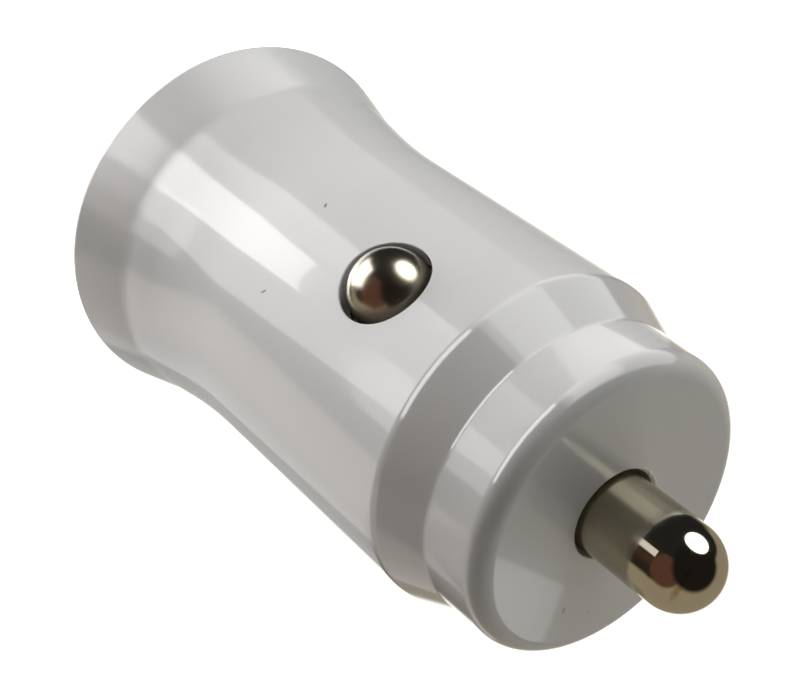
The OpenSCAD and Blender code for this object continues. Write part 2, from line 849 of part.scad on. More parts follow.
module tip_terminal() {
    half = terminal_w / 2;
    color(gold) {
        translate([0, 0, pocket_z]) cylinder(r = spring_pocket_r - fit_gap, h = terminal_t);
        tip_terminal_path(0);
        slot_box([-half, 0, tip_foot_z], [half, tip_terminal_y + terminal_t, tip_foot_z + terminal_t], 0);
        slot_box([-half, 0, tip_foot_z - terminal_pad], [half, terminal_t, tip_foot_z + terminal_t], 0);
    }
}

// Side terminal: a strip that lies against the middle of the side spring, with its foot under the board
module side_terminal_path(gap) {
    half = terminal_w / 2;
    slot_box(
        [-half, side_terminal_y - terminal_t, side_foot_z],
        [half, side_terminal_y, side_terminal_top], gap);
}

module side_terminal() {
    half = terminal_w / 2;
    color(gold) {
        side_terminal_path(0);
        slot_box(
            [-half, side_terminal_y - terminal_t, side_foot_z],
            [half, -board_t, side_foot_z + terminal_t], 0);
        slot_box(
            [-half, -board_t - terminal_t, side_foot_z - terminal_pad],
            [half, -board_t, side_foot_z + terminal_t], 0);
    }
}

// Contact turned from rod: spigot, flange, shank and ball end, along +Z from the flange's inner face
module turned_contact(r, flange_r, flange_t, ball_z) {
    translate([0, 0, -spigot_len]) cylinder(d = spigot_d, h = spigot_len + flange_t);
    cylinder(r = flange_r, h = flange_t);
    cylinder(r = r, h = ball_z);
    translate([0, 0, ball_z]) sphere(r = r);
}

module tip_contact() {
    color(nickel) {
        translate([0, 0, tip_flange_z]) {
            turned_contact(tip_r, tip_flange_d / 2, tip_flange_t, tip_end_z - tip_r - tip_flange_z);
        }
    }
}

module side_contact(side) {
    color(nickel) {
        translate([0, 0, side_z]) rotate([0, side * right_angle, 0]) {
            translate([0, 0, side_inner_x]) {
                turned_contact(side_r, side_flange_r, side_flange_t, side_dome_x - side_inner_x);
            }
        }
    }
}

module side_contact_left() {
    side_contact(-1);
}

module side_contact_right() {
    side_contact(1);
}

// Coil spring along +Z: wire carried round a helix whose first and last turns lie closed
function coil_z(u, turns, pitch) =
    u < 1 ? dead_pitch * u :
    u < turns - 1 ? dead_pitch + (u - 1) * pitch :
    dead_pitch + (turns - 2) * pitch + (u - turns + 1) * dead_pitch;

module coil(length, turns) {
    pitch = (length - wire_d - 2 * dead_pitch) / (turns - 2);
    rings = round(turns * coil_steps);
    points = [
        for (i = [0:rings], j = [0:coil_sides - 1])
            let (
                u = turns * i / rings,
                angle = full_turn * u,
                around = full_turn * j / coil_sides,
                r = spring_mean_r + wire_d / 2 * cos(around)
            )
            [r * cos(angle), r * sin(angle), wire_d / 2 + coil_z(u, turns, pitch) + wire_d / 2 * sin(around)]
    ];
    sides = [
        for (i = [0:rings - 1], j = [0:coil_sides - 1])
            let (k = (j + 1) % coil_sides, a = i * coil_sides, b = a + coil_sides)
            each [[a + j, a + k, b + k], [a + j, b + k, b + j]]
    ];
    first = [for (j = [coil_sides - 1:-1:0]) j];
    last = [for (j = [0:coil_sides - 1]) rings * coil_sides + j];
    polyhedron(points, concat(sides, [first, last]));
}

module tip_spring() {
    color(steel) {
        translate([0, 0, tip_terminal_z]) coil(tip_flange_z - tip_terminal_z, tip_turns);
    }
}

module side_spring() {
    color(steel) {
        translate([-side_inner_x, 0, side_z]) rotate([0, right_angle, 0]) coil(2 * side_inner_x, side_turns);
    }
}

housing();
face_plate();
usb_a_shell();
usb_a_tongue();
usb_a_contacts();
usb_c_shell();
usb_c_tongue();
usb_c_contacts();
main_board();
input_capacitor();
output_capacitor();
inductor();
buck_controller();
fast_charge_controller();
rectifier_diode();
fuse();
ceramic_capacitors();
chip_resistors();
contact_carrier();
tip_contact();
tip_spring();
tip_terminal();
side_contact_left();
side_contact_right();
side_spring();
side_terminal();
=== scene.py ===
"""Looks of a compact white charger plug for a vehicle's round 12 V socket.

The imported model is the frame: every piece here lies in its space, in metres, with +Z running from the port
face to the nose. Sizes in the classes are in millimetres and become metres when a mesh is made.
"""

import json
import logging
import math
from collections.abc import Callable
from dataclasses import dataclass
from enum import Enum
from functools import reduce

import bpy
import numpy as np
from mathutils import Matrix, Vector

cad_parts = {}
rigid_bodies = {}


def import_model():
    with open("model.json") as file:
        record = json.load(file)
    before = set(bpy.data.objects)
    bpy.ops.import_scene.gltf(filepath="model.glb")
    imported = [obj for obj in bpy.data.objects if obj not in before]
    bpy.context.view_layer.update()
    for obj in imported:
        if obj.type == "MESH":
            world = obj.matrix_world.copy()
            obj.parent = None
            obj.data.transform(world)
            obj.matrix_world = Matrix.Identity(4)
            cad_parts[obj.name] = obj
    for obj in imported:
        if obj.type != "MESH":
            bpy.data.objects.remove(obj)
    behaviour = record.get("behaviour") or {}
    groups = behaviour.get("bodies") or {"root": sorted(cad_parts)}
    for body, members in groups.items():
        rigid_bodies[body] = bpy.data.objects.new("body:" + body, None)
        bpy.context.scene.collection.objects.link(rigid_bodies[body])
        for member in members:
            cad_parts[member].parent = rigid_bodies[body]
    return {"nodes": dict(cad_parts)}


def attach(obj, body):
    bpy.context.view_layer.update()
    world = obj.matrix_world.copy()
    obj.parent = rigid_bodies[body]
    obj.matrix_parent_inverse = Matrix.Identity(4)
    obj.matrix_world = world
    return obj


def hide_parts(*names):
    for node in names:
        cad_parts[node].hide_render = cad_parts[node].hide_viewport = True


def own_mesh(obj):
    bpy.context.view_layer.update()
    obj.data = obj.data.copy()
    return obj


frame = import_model()

LOG = logging.getLogger("charger_plug")
MM = 0.001
TOUCHING = 1e-6
FULL_TURN = 2 * math.pi
SIDE_Z = 23.95  # height of the side contacts' own axis, in millimetres
SIDE_BASE = 7.4206  # from the plug's axis to the back of each side contact's flange, in millimetres

RGB = tuple[float, float, float]
Triple = tuple[float, float, float]
Material = bpy.types.Material
Node = bpy.types.ShaderNode
Outputs = bpy.types.NodeOutputs
Socket = bpy.types.NodeSocket
Tree = bpy.types.ShaderNodeTree


# ---- Forms: outlines, turned surfaces and pieces


@dataclass(frozen=True)
class Outline:
    """A line of rounded corners in the plane of radius and height, walked so that solid lies on its left.

    Each corner is (radius, height, rounding). A rounding is an arc that touches both neighbouring lines.
    """

    corners: tuple[Triple, ...]
    closed: bool = False
    arc_step: float = math.radians(6)
    span: float = 0.5

    def sample(self) -> tuple[np.ndarray, np.ndarray]:
        """Gives the points along the line and the outward normal at each.

        An arc's points are its start turned about its centre by equal shares of the corner's turn. Its
        normals are the incoming line's right-hand normal turned by the same shares. Long lines get evenly
        spaced points.

        Returns:
            Points and unit normals, both with one row of (radius, height) each.
        """
        flat = np.array([corner[:2] for corner in self.corners])
        ways = np.roll(flat, -1, axis=0) - flat
        ways /= np.linalg.norm(ways, axis=1)[:, None]
        pieces, facings = [], []
        for i, (_, _, rounding) in enumerate(self.corners):
            end = not self.closed and i in (0, len(flat) - 1)
            came = ways[i] if i == 0 and not self.closed else ways[i - 1]
            goes = came if end else ways[i]
            turn = math.atan2(came[0] * goes[1] - came[1] * goes[0], came @ goes)
            right = np.array([came[1], -came[0]])
            if rounding == 0 or end:
                half = turned(right[None], np.array([turn / 2]))
                pieces.append(flat[i][None])
                facings.append(half)
                continue
            start = flat[i] - came * rounding * math.tan(abs(turn) / 2)
            centre = start - right * math.copysign(rounding, turn)
            steps = max(3, math.ceil(abs(turn) / self.arc_step), math.ceil(abs(turn) * rounding / self.span))
            angles = turn * np.linspace(0, 1, steps + 1)
            pieces.append(centre + turned((start - centre)[None], angles))
            facings.append(turned(right[None], angles))
        points, normals = [], []
        for i, piece in enumerate(pieces):
            points.append(piece)
            normals.append(facings[i])
            if i + 1 == len(pieces) and not self.closed:
                break
            a, b = piece[-1], pieces[(i + 1) % len(pieces)][0]
            count = max(1, math.ceil(float(np.linalg.norm(b - a)) / self.span - TOUCHING))
            shares = np.arange(1, count)[:, None] / count
            points.append(a + (b - a) * shares)
            normals.append(np.repeat(np.array([[ways[i][1], -ways[i][0]]]), count - 1, axis=0))
        line, facing = np.concatenate(points), np.concatenate(normals)
        gaps = np.linalg.norm(np.diff(line, axis=0), axis=1)
        keep = np.concatenate([[True], gaps > TOUCHING])
        return line[keep], facing[keep]


def turned(vectors: np.ndarray, angles: np.ndarray) -> np.ndarray:
    """Turns flat vectors by angles: x cos a - y sin a, x sin a + y cos a.

    Args:
        vectors: Rows of (x, y), one row or as many as angles.
        angles: Angles in radians.

    Returns:
        One turned row for each angle.
    """
    c, s = np.cos(angles), np.sin(angles)
    x, y = vectors[:, 0], vectors[:, 1]
    return np.stack([x * c - y * s, x * s + y * c], axis=1)


def add_object(name: str, data: bpy.types.ID) -> bpy.types.Object:
    """Makes an object of a mesh, light or camera and links it to the scene.

    Args:
        name: Name of the object.
        data: What it shows.

    Returns:
        The new object.
    """
    thing = bpy.data.objects.new(name, data)
    bpy.context.scene.collection.objects.link(thing)
    return thing


@dataclass
class Surface:
    """Points, faces and normals of a piece, in millimetres."""

    points: np.ndarray
    normals: np.ndarray
    faces: list[list[int]]

    def placed(self, turn: Matrix, shift: Triple = (0, 0, 0)) -> "Surface":
        """Gives the surface turned by a rotation matrix and then shifted."""
        matrix = np.array(turn.to_3x3())
        return Surface(self.points @ matrix.T + np.array(shift), self.normals @ matrix.T, self.faces)

    def piece(self, name: str, body: str, slot: str, material: Material) -> bpy.types.Object:
        """Makes the mesh object and rides it on its body.

        Args:
            name: Piece name.
            body: CAD body that carries it.
            slot: Material slot of the record; not used.
            material: Finish.

        Returns:
            The new object, with its place in its mesh.
        """
        mesh = bpy.data.meshes.new(name)
        mesh.from_pydata((self.points * MM).tolist(), [], self.faces)
        mesh.polygons.foreach_set("use_smooth", np.ones(len(mesh.polygons), dtype=bool))
        mesh.normals_split_custom_set_from_vertices(self.normals.tolist())
        mesh.materials.append(material)
        thing = add_object(name, mesh)
        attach(thing, body)
        return thing


def grid_faces(
    rows: int, columns: int, wrap_rows: bool = False, skip: np.ndarray | None = None
) -> np.ndarray:
    """Gives the quads of a grid of points that closes on itself along its columns.

    The quad of cell (j, i) joins (j, i), (j, i + 1), (j + 1, i + 1) and (j + 1, i), and point (j, i) has the
    number j * columns + i.

    Args:
        rows: Rows of points.
        columns: Points in a row.
        wrap_rows: Whether the last row joins the first one.
        skip: Cells to leave out, as a table of rows and columns.

    Returns:
        One row of four point numbers for each quad.
    """
    count = rows if wrap_rows else rows - 1
    j, i = np.meshgrid(np.arange(count), np.arange(columns), indexing="ij")
    here, below, right = j * columns, (j + 1) % rows * columns, (i + 1) % columns
    cells = np.stack([here + i, here + right, below + right, below + i], axis=-1)
    keep = np.ones((count, columns), dtype=bool) if skip is None else ~skip[:count]
    return cells[keep]


def revolved(line: np.ndarray, facing: np.ndarray, columns: int, closed: bool = False) -> Surface:
    """Turns an outline about the Z axis: x = r cos a, y = r sin a, with one point where it meets the axis.

    Args:
        line: Outline points, (radius, height).
        facing: Outline normals.
        columns: Points round the axis.
        closed: Whether the outline closes on itself.

    Returns:
        The turned surface.
    """
    ring = line[:, 0] > TOUCHING
    angle = np.arange(columns) * FULL_TURN / columns
    c, s = np.cos(angle), np.sin(angle)

    def swept(out: np.ndarray, up: np.ndarray) -> np.ndarray:
        """Carries (outward, upward) pairs round the axis."""
        level = np.outer(up, np.ones(columns))
        return np.stack([np.outer(out, c), np.outer(out, s), level], -1).reshape(-1, 3)

    points, normals = swept(*line[ring].T), swept(*facing[ring].T)
    rows = int(ring.sum())
    faces = grid_faces(rows, columns, wrap_rows=closed).tolist()
    i = np.arange(columns)
    after, last = (i + 1) % columns, (rows - 1) * columns
    fans = {0: [i * 0, after, i], len(line) - 1: [last + i, last + after, i * 0]}
    for at, fan in fans.items():
        if closed or ring[at]:
            continue
        pole = len(points)
        points = np.vstack([points, [0, 0, line[at, 1]]])
        normals = np.vstack([normals, [0, 0, -1 if at == 0 else 1]])
        fan[0 if at == 0 else 2] = np.full(columns, pole)
        faces += np.stack(fan, axis=1).tolist()
    return Surface(points, normals, faces)


def tube(radius: np.ndarray, height: np.ndarray, turn: np.ndarray, around: np.ndarray) -> Surface:
    """Carries a loop of points about the Z axis, x = r cos a and y = r sin a, and closes both ends flat.

    Args:
        radius: Distance of every point from the axis, one row for each loop.
        height: Height of every point, in the same table.
        turn: Angle of each loop about the axis, as a column.
        around: Angle of each point round the tube, as a row.

    Returns:
        The closed tube.
    """
    out = np.cos(around)
    points = np.stack([radius * np.cos(turn), radius * np.sin(turn), height], -1)
    normals = np.stack([out * np.cos(turn), out * np.sin(turn), np.sin(around) + 0 * turn], -1)
    loops, sides = radius.shape
    faces = grid_faces(loops, sides)[:, ::-1].tolist()
    faces += [list(range(sides)), list(range((loops - 1) * sides, loops * sides))[::-1]]
    return Surface(points.reshape(-1, 3), normals.reshape(-1, 3), faces)


# ---- Shader graphs and shared effects


class Graph:
    """Short calls that add and join the nodes of one shader tree."""

    def __init__(self, tree: Tree) -> None:
        """Keeps the tree that the calls add to."""
        self.tree = tree

    def add(self, kind: str, inputs: dict | None = None, **settings: object) -> Node:
        """Adds a node.

        Args:
            kind: Node type without its ShaderNode prefix.
            inputs: Values or sockets for its inputs, by name or number.
            settings: Attributes of the node.

        Returns:
            The node.
        """
        node = self.tree.nodes.new("ShaderNode" + kind)
        for key, value in settings.items():
            setattr(node, key, value)
        for key, value in (inputs or {}).items():
            if isinstance(value, Socket):
                self.tree.links.new(value, node.inputs[key])
            elif value is not None:
                node.inputs[key].default_value = value
        return node

    def link(self, node: Node, values: dict[str, Socket]) -> None:
        """Joins varying values to the inputs of a node."""
        for key, value in values.items():
            self.tree.links.new(value, node.inputs[key])

    def math(self, operation: str, a: object, b: object = None) -> Socket:
        """Adds one step of arithmetic and gives its result."""
        return self.add("Math", {0: a, 1: b}, operation=operation).outputs[0]

    def times(self, a: object, b: object) -> Socket:
        """Multiplies two numbers."""
        return self.math("MULTIPLY", a, b)

    def plus(self, *terms: object) -> Socket:
        """Adds up numbers, from the first to the last."""
        return reduce(lambda a, b: self.math("ADD", a, b), terms)

    def vector(self, operation: str, a: object, b: object = None) -> Socket:
        """Adds one step of vector arithmetic and gives its vector."""
        return self.add("VectorMath", {0: a, 1: b}, operation=operation).outputs[0]

    def reading(self, operation: str, a: object, b: object = None) -> Socket:
        """Adds one step of vector arithmetic that gives a number, such as a length or dot product."""
        return self.add("VectorMath", {0: a, 1: b}, operation=operation).outputs["Value"]

    def fit(
        self, value: object, low: float, high: float, to_low: float = 0, to_high: float = 1
    ) -> Socket:
        """Maps a value from one range to another, softly and without passing its ends."""
        inputs = {0: value, 1: low, 2: high, 3: to_low, 4: to_high}
        return self.add("MapRange", inputs, interpolation_type="SMOOTHSTEP").outputs[0]

    def noise(self, at: object, scale: float, detail: float = 2, rough: float = 0.6) -> Socket:
        """Adds fractal noise and gives its value."""
        inputs = {"Vector": at, "Scale": scale, "Detail": detail, "Roughness": rough}
        return self.add("TexNoise", inputs).outputs[0]

    def hairs(self, at: object, scale: Triple) -> Socket:
        """Adds noise that is drawn out into hairlines, by its own scale along each axis."""
        return self.noise(self.vector("MULTIPLY", at, scale), 1, 3, 0.7)

    def mix(self, share: object, a: object, b: object) -> Socket:
        """Mixes two colours."""
        a, b = (v if isinstance(v, Socket) else (*v[:3], 1) for v in (a, b))
        return self.add("Mix", {0: share, 6: a, 7: b}, data_type="RGBA").outputs[2]

    def bump(self, height: Socket, depth: float) -> Socket:
        """Gives the normal of a relief whose height of one stands for a depth in metres."""
        return self.add("Bump", {"Height": height, "Distance": depth, "Strength": 1}).outputs[0]

    def place(self) -> Socket:
        """Gives the piece's own coordinates, in metres."""
        return self.add("TexCoord").outputs["Object"]

    def dress(self, shader: Node, effect: Tree, depth: float, inputs: dict[str, object]) -> Socket:
        """Places an effect and joins its colour, roughness and height to the shader.

        Args:
            shader: Principled node.
            effect: Effect group.
            depth: Distance in metres that a height of one stands for.
            inputs: Values of the effect.

        Returns:
            The effect's colour.
        """
        give = self.add("Group", inputs, node_tree=effect).outputs
        normal = self.bump(give["Height"], depth)
        self.link(shader, {"Base Color": give["Colour"], "Roughness": give["Roughness"], "Normal": normal})
        return give["Colour"]


def settle(shader: Node, values: dict[str, object]) -> None:
    """Sets constants on the shader's own sockets."""
    for key, value in values.items():
        shader.inputs[key].default_value = value


Recipe = Callable[[Graph, Outputs], dict[str, Socket]]


class Effects:
    """The shared effects, each a node group that is made once from a recipe of its nodes."""

    def __init__(self) -> None:
        """Builds every group, with the values that its inputs start from."""
        pale, grey, dark, fleck = ((v, v, v, 1) for v in (0.8, 0.7, 0.2, 0.4))
        self.skin = self._group("moulded_skin", self._skin, Colour=pale, Gloss=0.1, Rubs=0.5, Texture=0.0)
        spot = {"Place": (0, 0, 0), "Along": (0, 0, 1), "Size": 0.0001, "Length": 3.0}
        self.marks = self._group("small_mark", self._mark, **spot)
        ring = {"Along": 0.0, "Gloss": 0.08, "Rings": 0.5, "Colour": grey}
        self.polish = self._group("turned_polish", self._polish, **ring)
        self.rolled = self._group("rolled_metal", self._rolled, Colour=grey, Gloss=0.25, Grain=(1, 1, 12))
        self.grain = self._group("pressed_grain", self._grain, Colour=dark, Fleck=fleck, Cells=8000.0)

    @staticmethod
    def _group(name: str, recipe: Recipe, **inputs: object) -> Tree:
        """Makes a group.

        Args:
            name: Name of the group.
            recipe: Recipe of its effect.
            inputs: Default value of each input: a number, a colour of four numbers or a vector of three.

        Returns:
            The group.
        """
        tree = bpy.data.node_groups.new(name, "ShaderNodeTree")
        for key, value in inputs.items():
            kind = "Float" if isinstance(value, (int, float)) else ("Vector", "Color")[len(value) - 3]
            socket = tree.interface.new_socket(key, in_out="INPUT", socket_type="NodeSocket" + kind)
            socket.default_value = value
        graph = Graph(tree)
        outputs = recipe(graph, tree.nodes.new("NodeGroupInput").outputs)
        for key in outputs:
            kind = "Color" if key == "Colour" else "Float"
            tree.interface.new_socket(key, in_out="OUTPUT", socket_type="NodeSocket" + kind)
        graph.link(tree.nodes.new("NodeGroupOutput"), outputs)
        return tree

    @staticmethod
    def _skin(g: Graph, into: Outputs) -> dict[str, Socket]:
        """Moulded surface: slow clouding of the colour, flow waves, dust and hairline rubs in the gloss.

        Args:
            g: Graph of the group.
            into: Sockets that bring the inputs in.

        Returns:
            The outputs by name.
        """
        at = g.place()
        dust = g.fit(g.noise(at, 5200), 0.68, 0.76)
        shade = g.mix(g.fit(g.noise(at, 120, 3, 0.55), 0.35, 0.7, 0, 0.06), into["Colour"], (0.5, 0.49, 0.47))
        shade = g.mix(g.times(dust, 0.05), shade, (0.45, 0.42, 0.38))
        lines, across = g.hairs(at, (5200, 900, 260)), g.hairs(at, (700, 4700, 420))
        rubs = g.math("MAXIMUM", g.fit(lines, 0.64, 0.74), g.fit(across, 0.66, 0.76))
        rubs = g.times(rubs, into["Rubs"])
        rough = g.plus(into["Gloss"], g.times(rubs, 0.06), g.times(dust, 0.05))
        wave = g.times(g.noise(at, 210, 1, 0.4), 0.6)
        pits = g.times(g.noise(at, 9000), into["Texture"])
        height = g.math("SUBTRACT", g.plus(wave, pits), g.times(rubs, 0.004))
        return {"Colour": shade, "Roughness": rough, "Height": height}

    @staticmethod
    def _mark(g: Graph, into: Outputs) -> dict[str, Socket]:
        """One small mark: a soft blot round a point, drawn out along a line, with a ragged edge.

        Args:
            g: Graph of the group.
            into: Sockets that bring the inputs in.

        Returns:
            The outputs by name.
        """
        at = g.place()
        away = g.vector("SUBTRACT", at, into["Place"])
        along = g.reading("DOT_PRODUCT", away, into["Along"])
        pulled = g.math("SUBTRACT", along, g.math("DIVIDE", along, into["Length"]))
        shift = g.add("VectorMath", {0: into["Along"], "Scale": pulled}, operation="SCALE").outputs[0]
        reach = g.reading("LENGTH", g.vector("SUBTRACT", away, shift))
        share = g.plus(g.math("DIVIDE", reach, into["Size"]), g.times(g.noise(at, 9000), 0.8))
        return {"Mask": g.fit(share, 0.7, 1.3, 1, 0)}

    @staticmethod
    def _polish(g: Graph, into: Outputs) -> dict[str, Socket]:
        """Turned and plated metal: fine turning rings along the axis, soft clouds and a few rub marks.

        Args:
            g: Graph of the group.
            into: Sockets that bring the inputs in.

        Returns:
            The outputs by name.
        """
        at = g.place()
        ring = g.noise(g.add("CombineXYZ", {0: g.times(into["Along"], 14000)}).outputs[0], 1, 3)
        cloud = g.noise(at, 900, 3)
        rub = g.fit(g.hairs(at, (6200, 1500, 2600)), 0.66, 0.78)
        rough = g.plus(g.times(g.fit(cloud, 0.35, 0.7, 0.9, 1.15), into["Gloss"]), g.times(rub, 0.04))
        height = g.math("SUBTRACT", g.times(ring, into["Rings"]), g.times(rub, 0.15))
        shade = g.mix(g.fit(cloud, 0.4, 0.75, 0, 0.12), into["Colour"], (0.50, 0.46, 0.36))
        return {"Colour": shade, "Roughness": rough, "Height": height}

    @staticmethod
    def _rolled(g: Graph, into: Outputs) -> dict[str, Socket]:
        """Rolled or drawn metal: streaks along one direction, tarnish clouds and small scratches.

        Args:
            g: Graph of the group.
            into: Sockets that bring the inputs in.

        Returns:
            The outputs by name.
        """
        at = g.place()
        streak = g.noise(g.vector("DIVIDE", at, into["Grain"]), 9000, 4, 0.7)
        tarnish_and_shade = g.fit(g.noise(at, 500, 4), 0.35, 0.75, 0, 0.35)
        shade = g.mix(tarnish_and_shade, into["Colour"], (0.34, 0.31, 0.27))
        shade = g.mix(g.fit(streak, 0.3, 0.8, 0, 0.15), shade, (0.2, 0.2, 0.2))
        rough = g.plus(into["Gloss"], g.fit(streak, 0.3, 0.75, -0.05, 0.14))
        return {"Colour": shade, "Roughness": rough, "Height": streak}

    @staticmethod
    def _grain(g: Graph, into: Outputs) -> dict[str, Socket]:
        """Pressed or cast grain: small cells of lighter and darker tone with a pitted surface.

        Args:
            g: Graph of the group.
            into: Sockets that bring the inputs in.

        Returns:
            The outputs by name.
        """
        at = g.place()
        cell = g.add("TexVoronoi", {"Vector": at, "Scale": into["Cells"]}).outputs["Distance"]
        shade = g.mix(g.fit(g.noise(at, 6000, 3), 0.55, 0.7, 0, 0.5), into["Colour"], into["Fleck"])
        shade = g.mix(g.fit(g.noise(at, 420, 3, 0.5), 0.3, 0.7, 0, 0.25), shade, (0.1, 0.1, 0.1))
        return {"Colour": shade, "Roughness": g.fit(cell, 0, 0.8, 0.42, 0.62), "Height": cell}


def new_material(name: str) -> tuple[Material, Graph, Node]:
    """Makes a material with a bare Principled shader.

    Args:
        name: Name of the finish.

    Returns:
        The material, its graph and its Principled node.
    """
    material = bpy.data.materials.new(name)
    material.use_nodes = True
    return material, Graph(material.node_tree), material.node_tree.nodes["Principled BSDF"]


@dataclass(frozen=True)
class Mark:
    """A tiny mark on a surface, with its place, direction, size and length, in millimetres."""

    place: Triple
    along: Triple
    size: float
    length: float = 1.0
    strength: float = 0.8

    def over(self, g: Graph, effects: Effects, shade: Socket, tone: RGB) -> Socket:
        """Lays the mark over a colour.

        Args:
            g: Graph of the material.
            effects: Shared effects.
            shade: Colour under the mark.
            tone: Colour of the mark.

        Returns:
            The marked colour.
        """
        place = tuple(v * MM for v in self.place)
        values = {"Place": place, "Along": self.along, "Size": self.size * MM, "Length": self.length}
        spot = g.add("Group", values, node_tree=effects.marks).outputs["Mask"]
        return g.mix(g.times(spot, self.strength), shade, tone)


@dataclass(frozen=True)
class Finish:
    """A material of the plug. Each kind of finish dresses the bare shader in its own way."""

    name: str

    def build(self, effects: Effects) -> Material:
        """Makes the material.

        Args:
            effects: Shared effects.

        Returns:
            The finished material.
        """
        material, g, shader = new_material(self.name)
        self.dress(g, shader, effects)
        return material

    def dress(self, g: Graph, shader: Node, effects: Effects) -> None:
        """Dresses the Principled shader of the graph with the shared effects."""
        raise NotImplementedError


@dataclass(frozen=True)
class MouldedPlastic(Finish):
    """Moulded plastic under its own smooth skin. Its gloss can be duller near the rim, up to a height."""

    colour: RGB
    gloss: float = 0.12
    ior: float = 1.5
    coat: float = 0.0
    coat_gloss: float = 0.03
    rubs: float = 0.5
    texture: float = 0.0
    wave: float = 0.0016
    soft_rim: float = 0.0
    rim_from: float = 2.5
    rim_to: float = 9.0
    marks: tuple[Mark, ...] = ()
    soot: RGB = (0.07, 0.065, 0.06)

    def dress(self, g: Graph, shader: Node, effects: Effects) -> None:
        """Gives the moulding its skin, its gloss and its marks.

        Args:
            g: Graph of the material.
            shader: Principled node.
            effects: Shared effects.
        """
        values = {"Colour": (*self.colour, 1), "Gloss": self.gloss, "Rubs": self.rubs}
        shade = g.dress(shader, effects.skin, self.wave * MM, values | {"Texture": self.texture})
        settle(shader, {"IOR": self.ior, "Coat IOR": self.ior})
        settle(shader, {"Coat Weight": self.coat, "Coat Roughness": self.coat_gloss})
        if self.soft_rim:
            height = g.reading("DOT_PRODUCT", g.place(), Axis.Z.value)
            dull = g.fit(height, self.rim_from * MM, self.rim_to * MM, self.soft_rim, self.coat_gloss)
            g.link(shader, {"Coat Roughness": dull})
        for mark in self.marks:
            shade = mark.over(g, effects, shade, self.soot)
        g.link(shader, {"Base Color": shade})


class Axis(Enum):
    """Axis that a turned piece was turned about."""

    X = (1.0, 0.0, 0.0)
    Z = (0.0, 0.0, 1.0)


@dataclass(frozen=True)
class TurnedMetal(Finish):
    """Plated metal turned from rod, polished at its end and satin on its shank."""

    colour: RGB
    axis: Axis
    gloss: float
    satin: float
    satin_from: float
    satin_to: float
    # colour of the satin part near the hole: partly the plating's own olive tint, partly painted shade
    tarnish_and_shade: RGB
    rings: float = 0.5
    wear: tuple[Mark, ...] = ()
    worn: RGB = (0.42, 0.27, 0.1)
    relief: float = 0.0004
    rings_left: float = 0.1

    def dress(self, g: Graph, shader: Node, effects: Effects) -> None:
        """Gives the metal its turning rings, from satin to polished along the axis, and its worn spots.

        Args:
            g: Graph of the material.
            shader: Principled node.
            effects: Shared effects.
        """
        along = g.math("ABSOLUTE", g.reading("DOT_PRODUCT", g.place(), self.axis.value))
        shank = along, self.satin_from * MM, self.satin_to * MM
        values = {"Along": along, "Colour": (*self.colour, 1)}
        values["Gloss"] = g.fit(*shank, self.satin, self.gloss)
        values["Rings"] = g.fit(*shank, self.rings, self.rings * self.rings_left)
        shade = g.dress(shader, effects.polish, self.relief * MM, values)
        settle(shader, {"Metallic": 1.0})
        # darkens the satin part towards that colour: partly tint, partly painted shade of the hole it sinks
        # into
        shade = g.mix(g.fit(*shank, 1, 0), shade, self.tarnish_and_shade)
        for mark in self.wear:
            shade = mark.over(g, effects, shade, self.worn)
        g.link(shader, {"Base Color": shade})


@dataclass(frozen=True)
class RolledMetal(Finish):
    """Sheet, strip or wire with its rolling or drawing streaks."""

    colour: RGB
    gloss: float = 0.25
    grain: Triple = (1, 1, 12)
    relief: float = 0.0008

    def dress(self, g: Graph, shader: Node, effects: Effects) -> None:
        """Gives the metal its streaks.

        Args:
            g: Graph of the material.
            shader: Principled node.
            effects: Shared effects.
        """
        values = {"Colour": (*self.colour, 1), "Gloss": self.gloss, "Grain": self.grain}
        g.dress(shader, effects.rolled, self.relief * MM, values)
        settle(shader, {"Metallic": 1.0})


@dataclass(frozen=True)
class GrainedSolid(Finish):
    """Cast, pressed or fired material with a fine grain."""

    colour: RGB
    fleck: RGB
    cells: float = 8000.0
    relief: float = 0.01
    specular: float = 0.4

    def dress(self, g: Graph, shader: Node, effects: Effects) -> None:
        """Gives the solid its grain.

        Args:
            g: Graph of the material.
            shader: Principled node.
            effects: Shared effects.
        """
        values = {"Colour": (*self.colour, 1), "Fleck": (*self.fleck, 1), "Cells": self.cells}
        g.dress(shader, effects.grain, self.relief * MM, values)
        settle(shader, {"Specular IOR Level": self.specular})


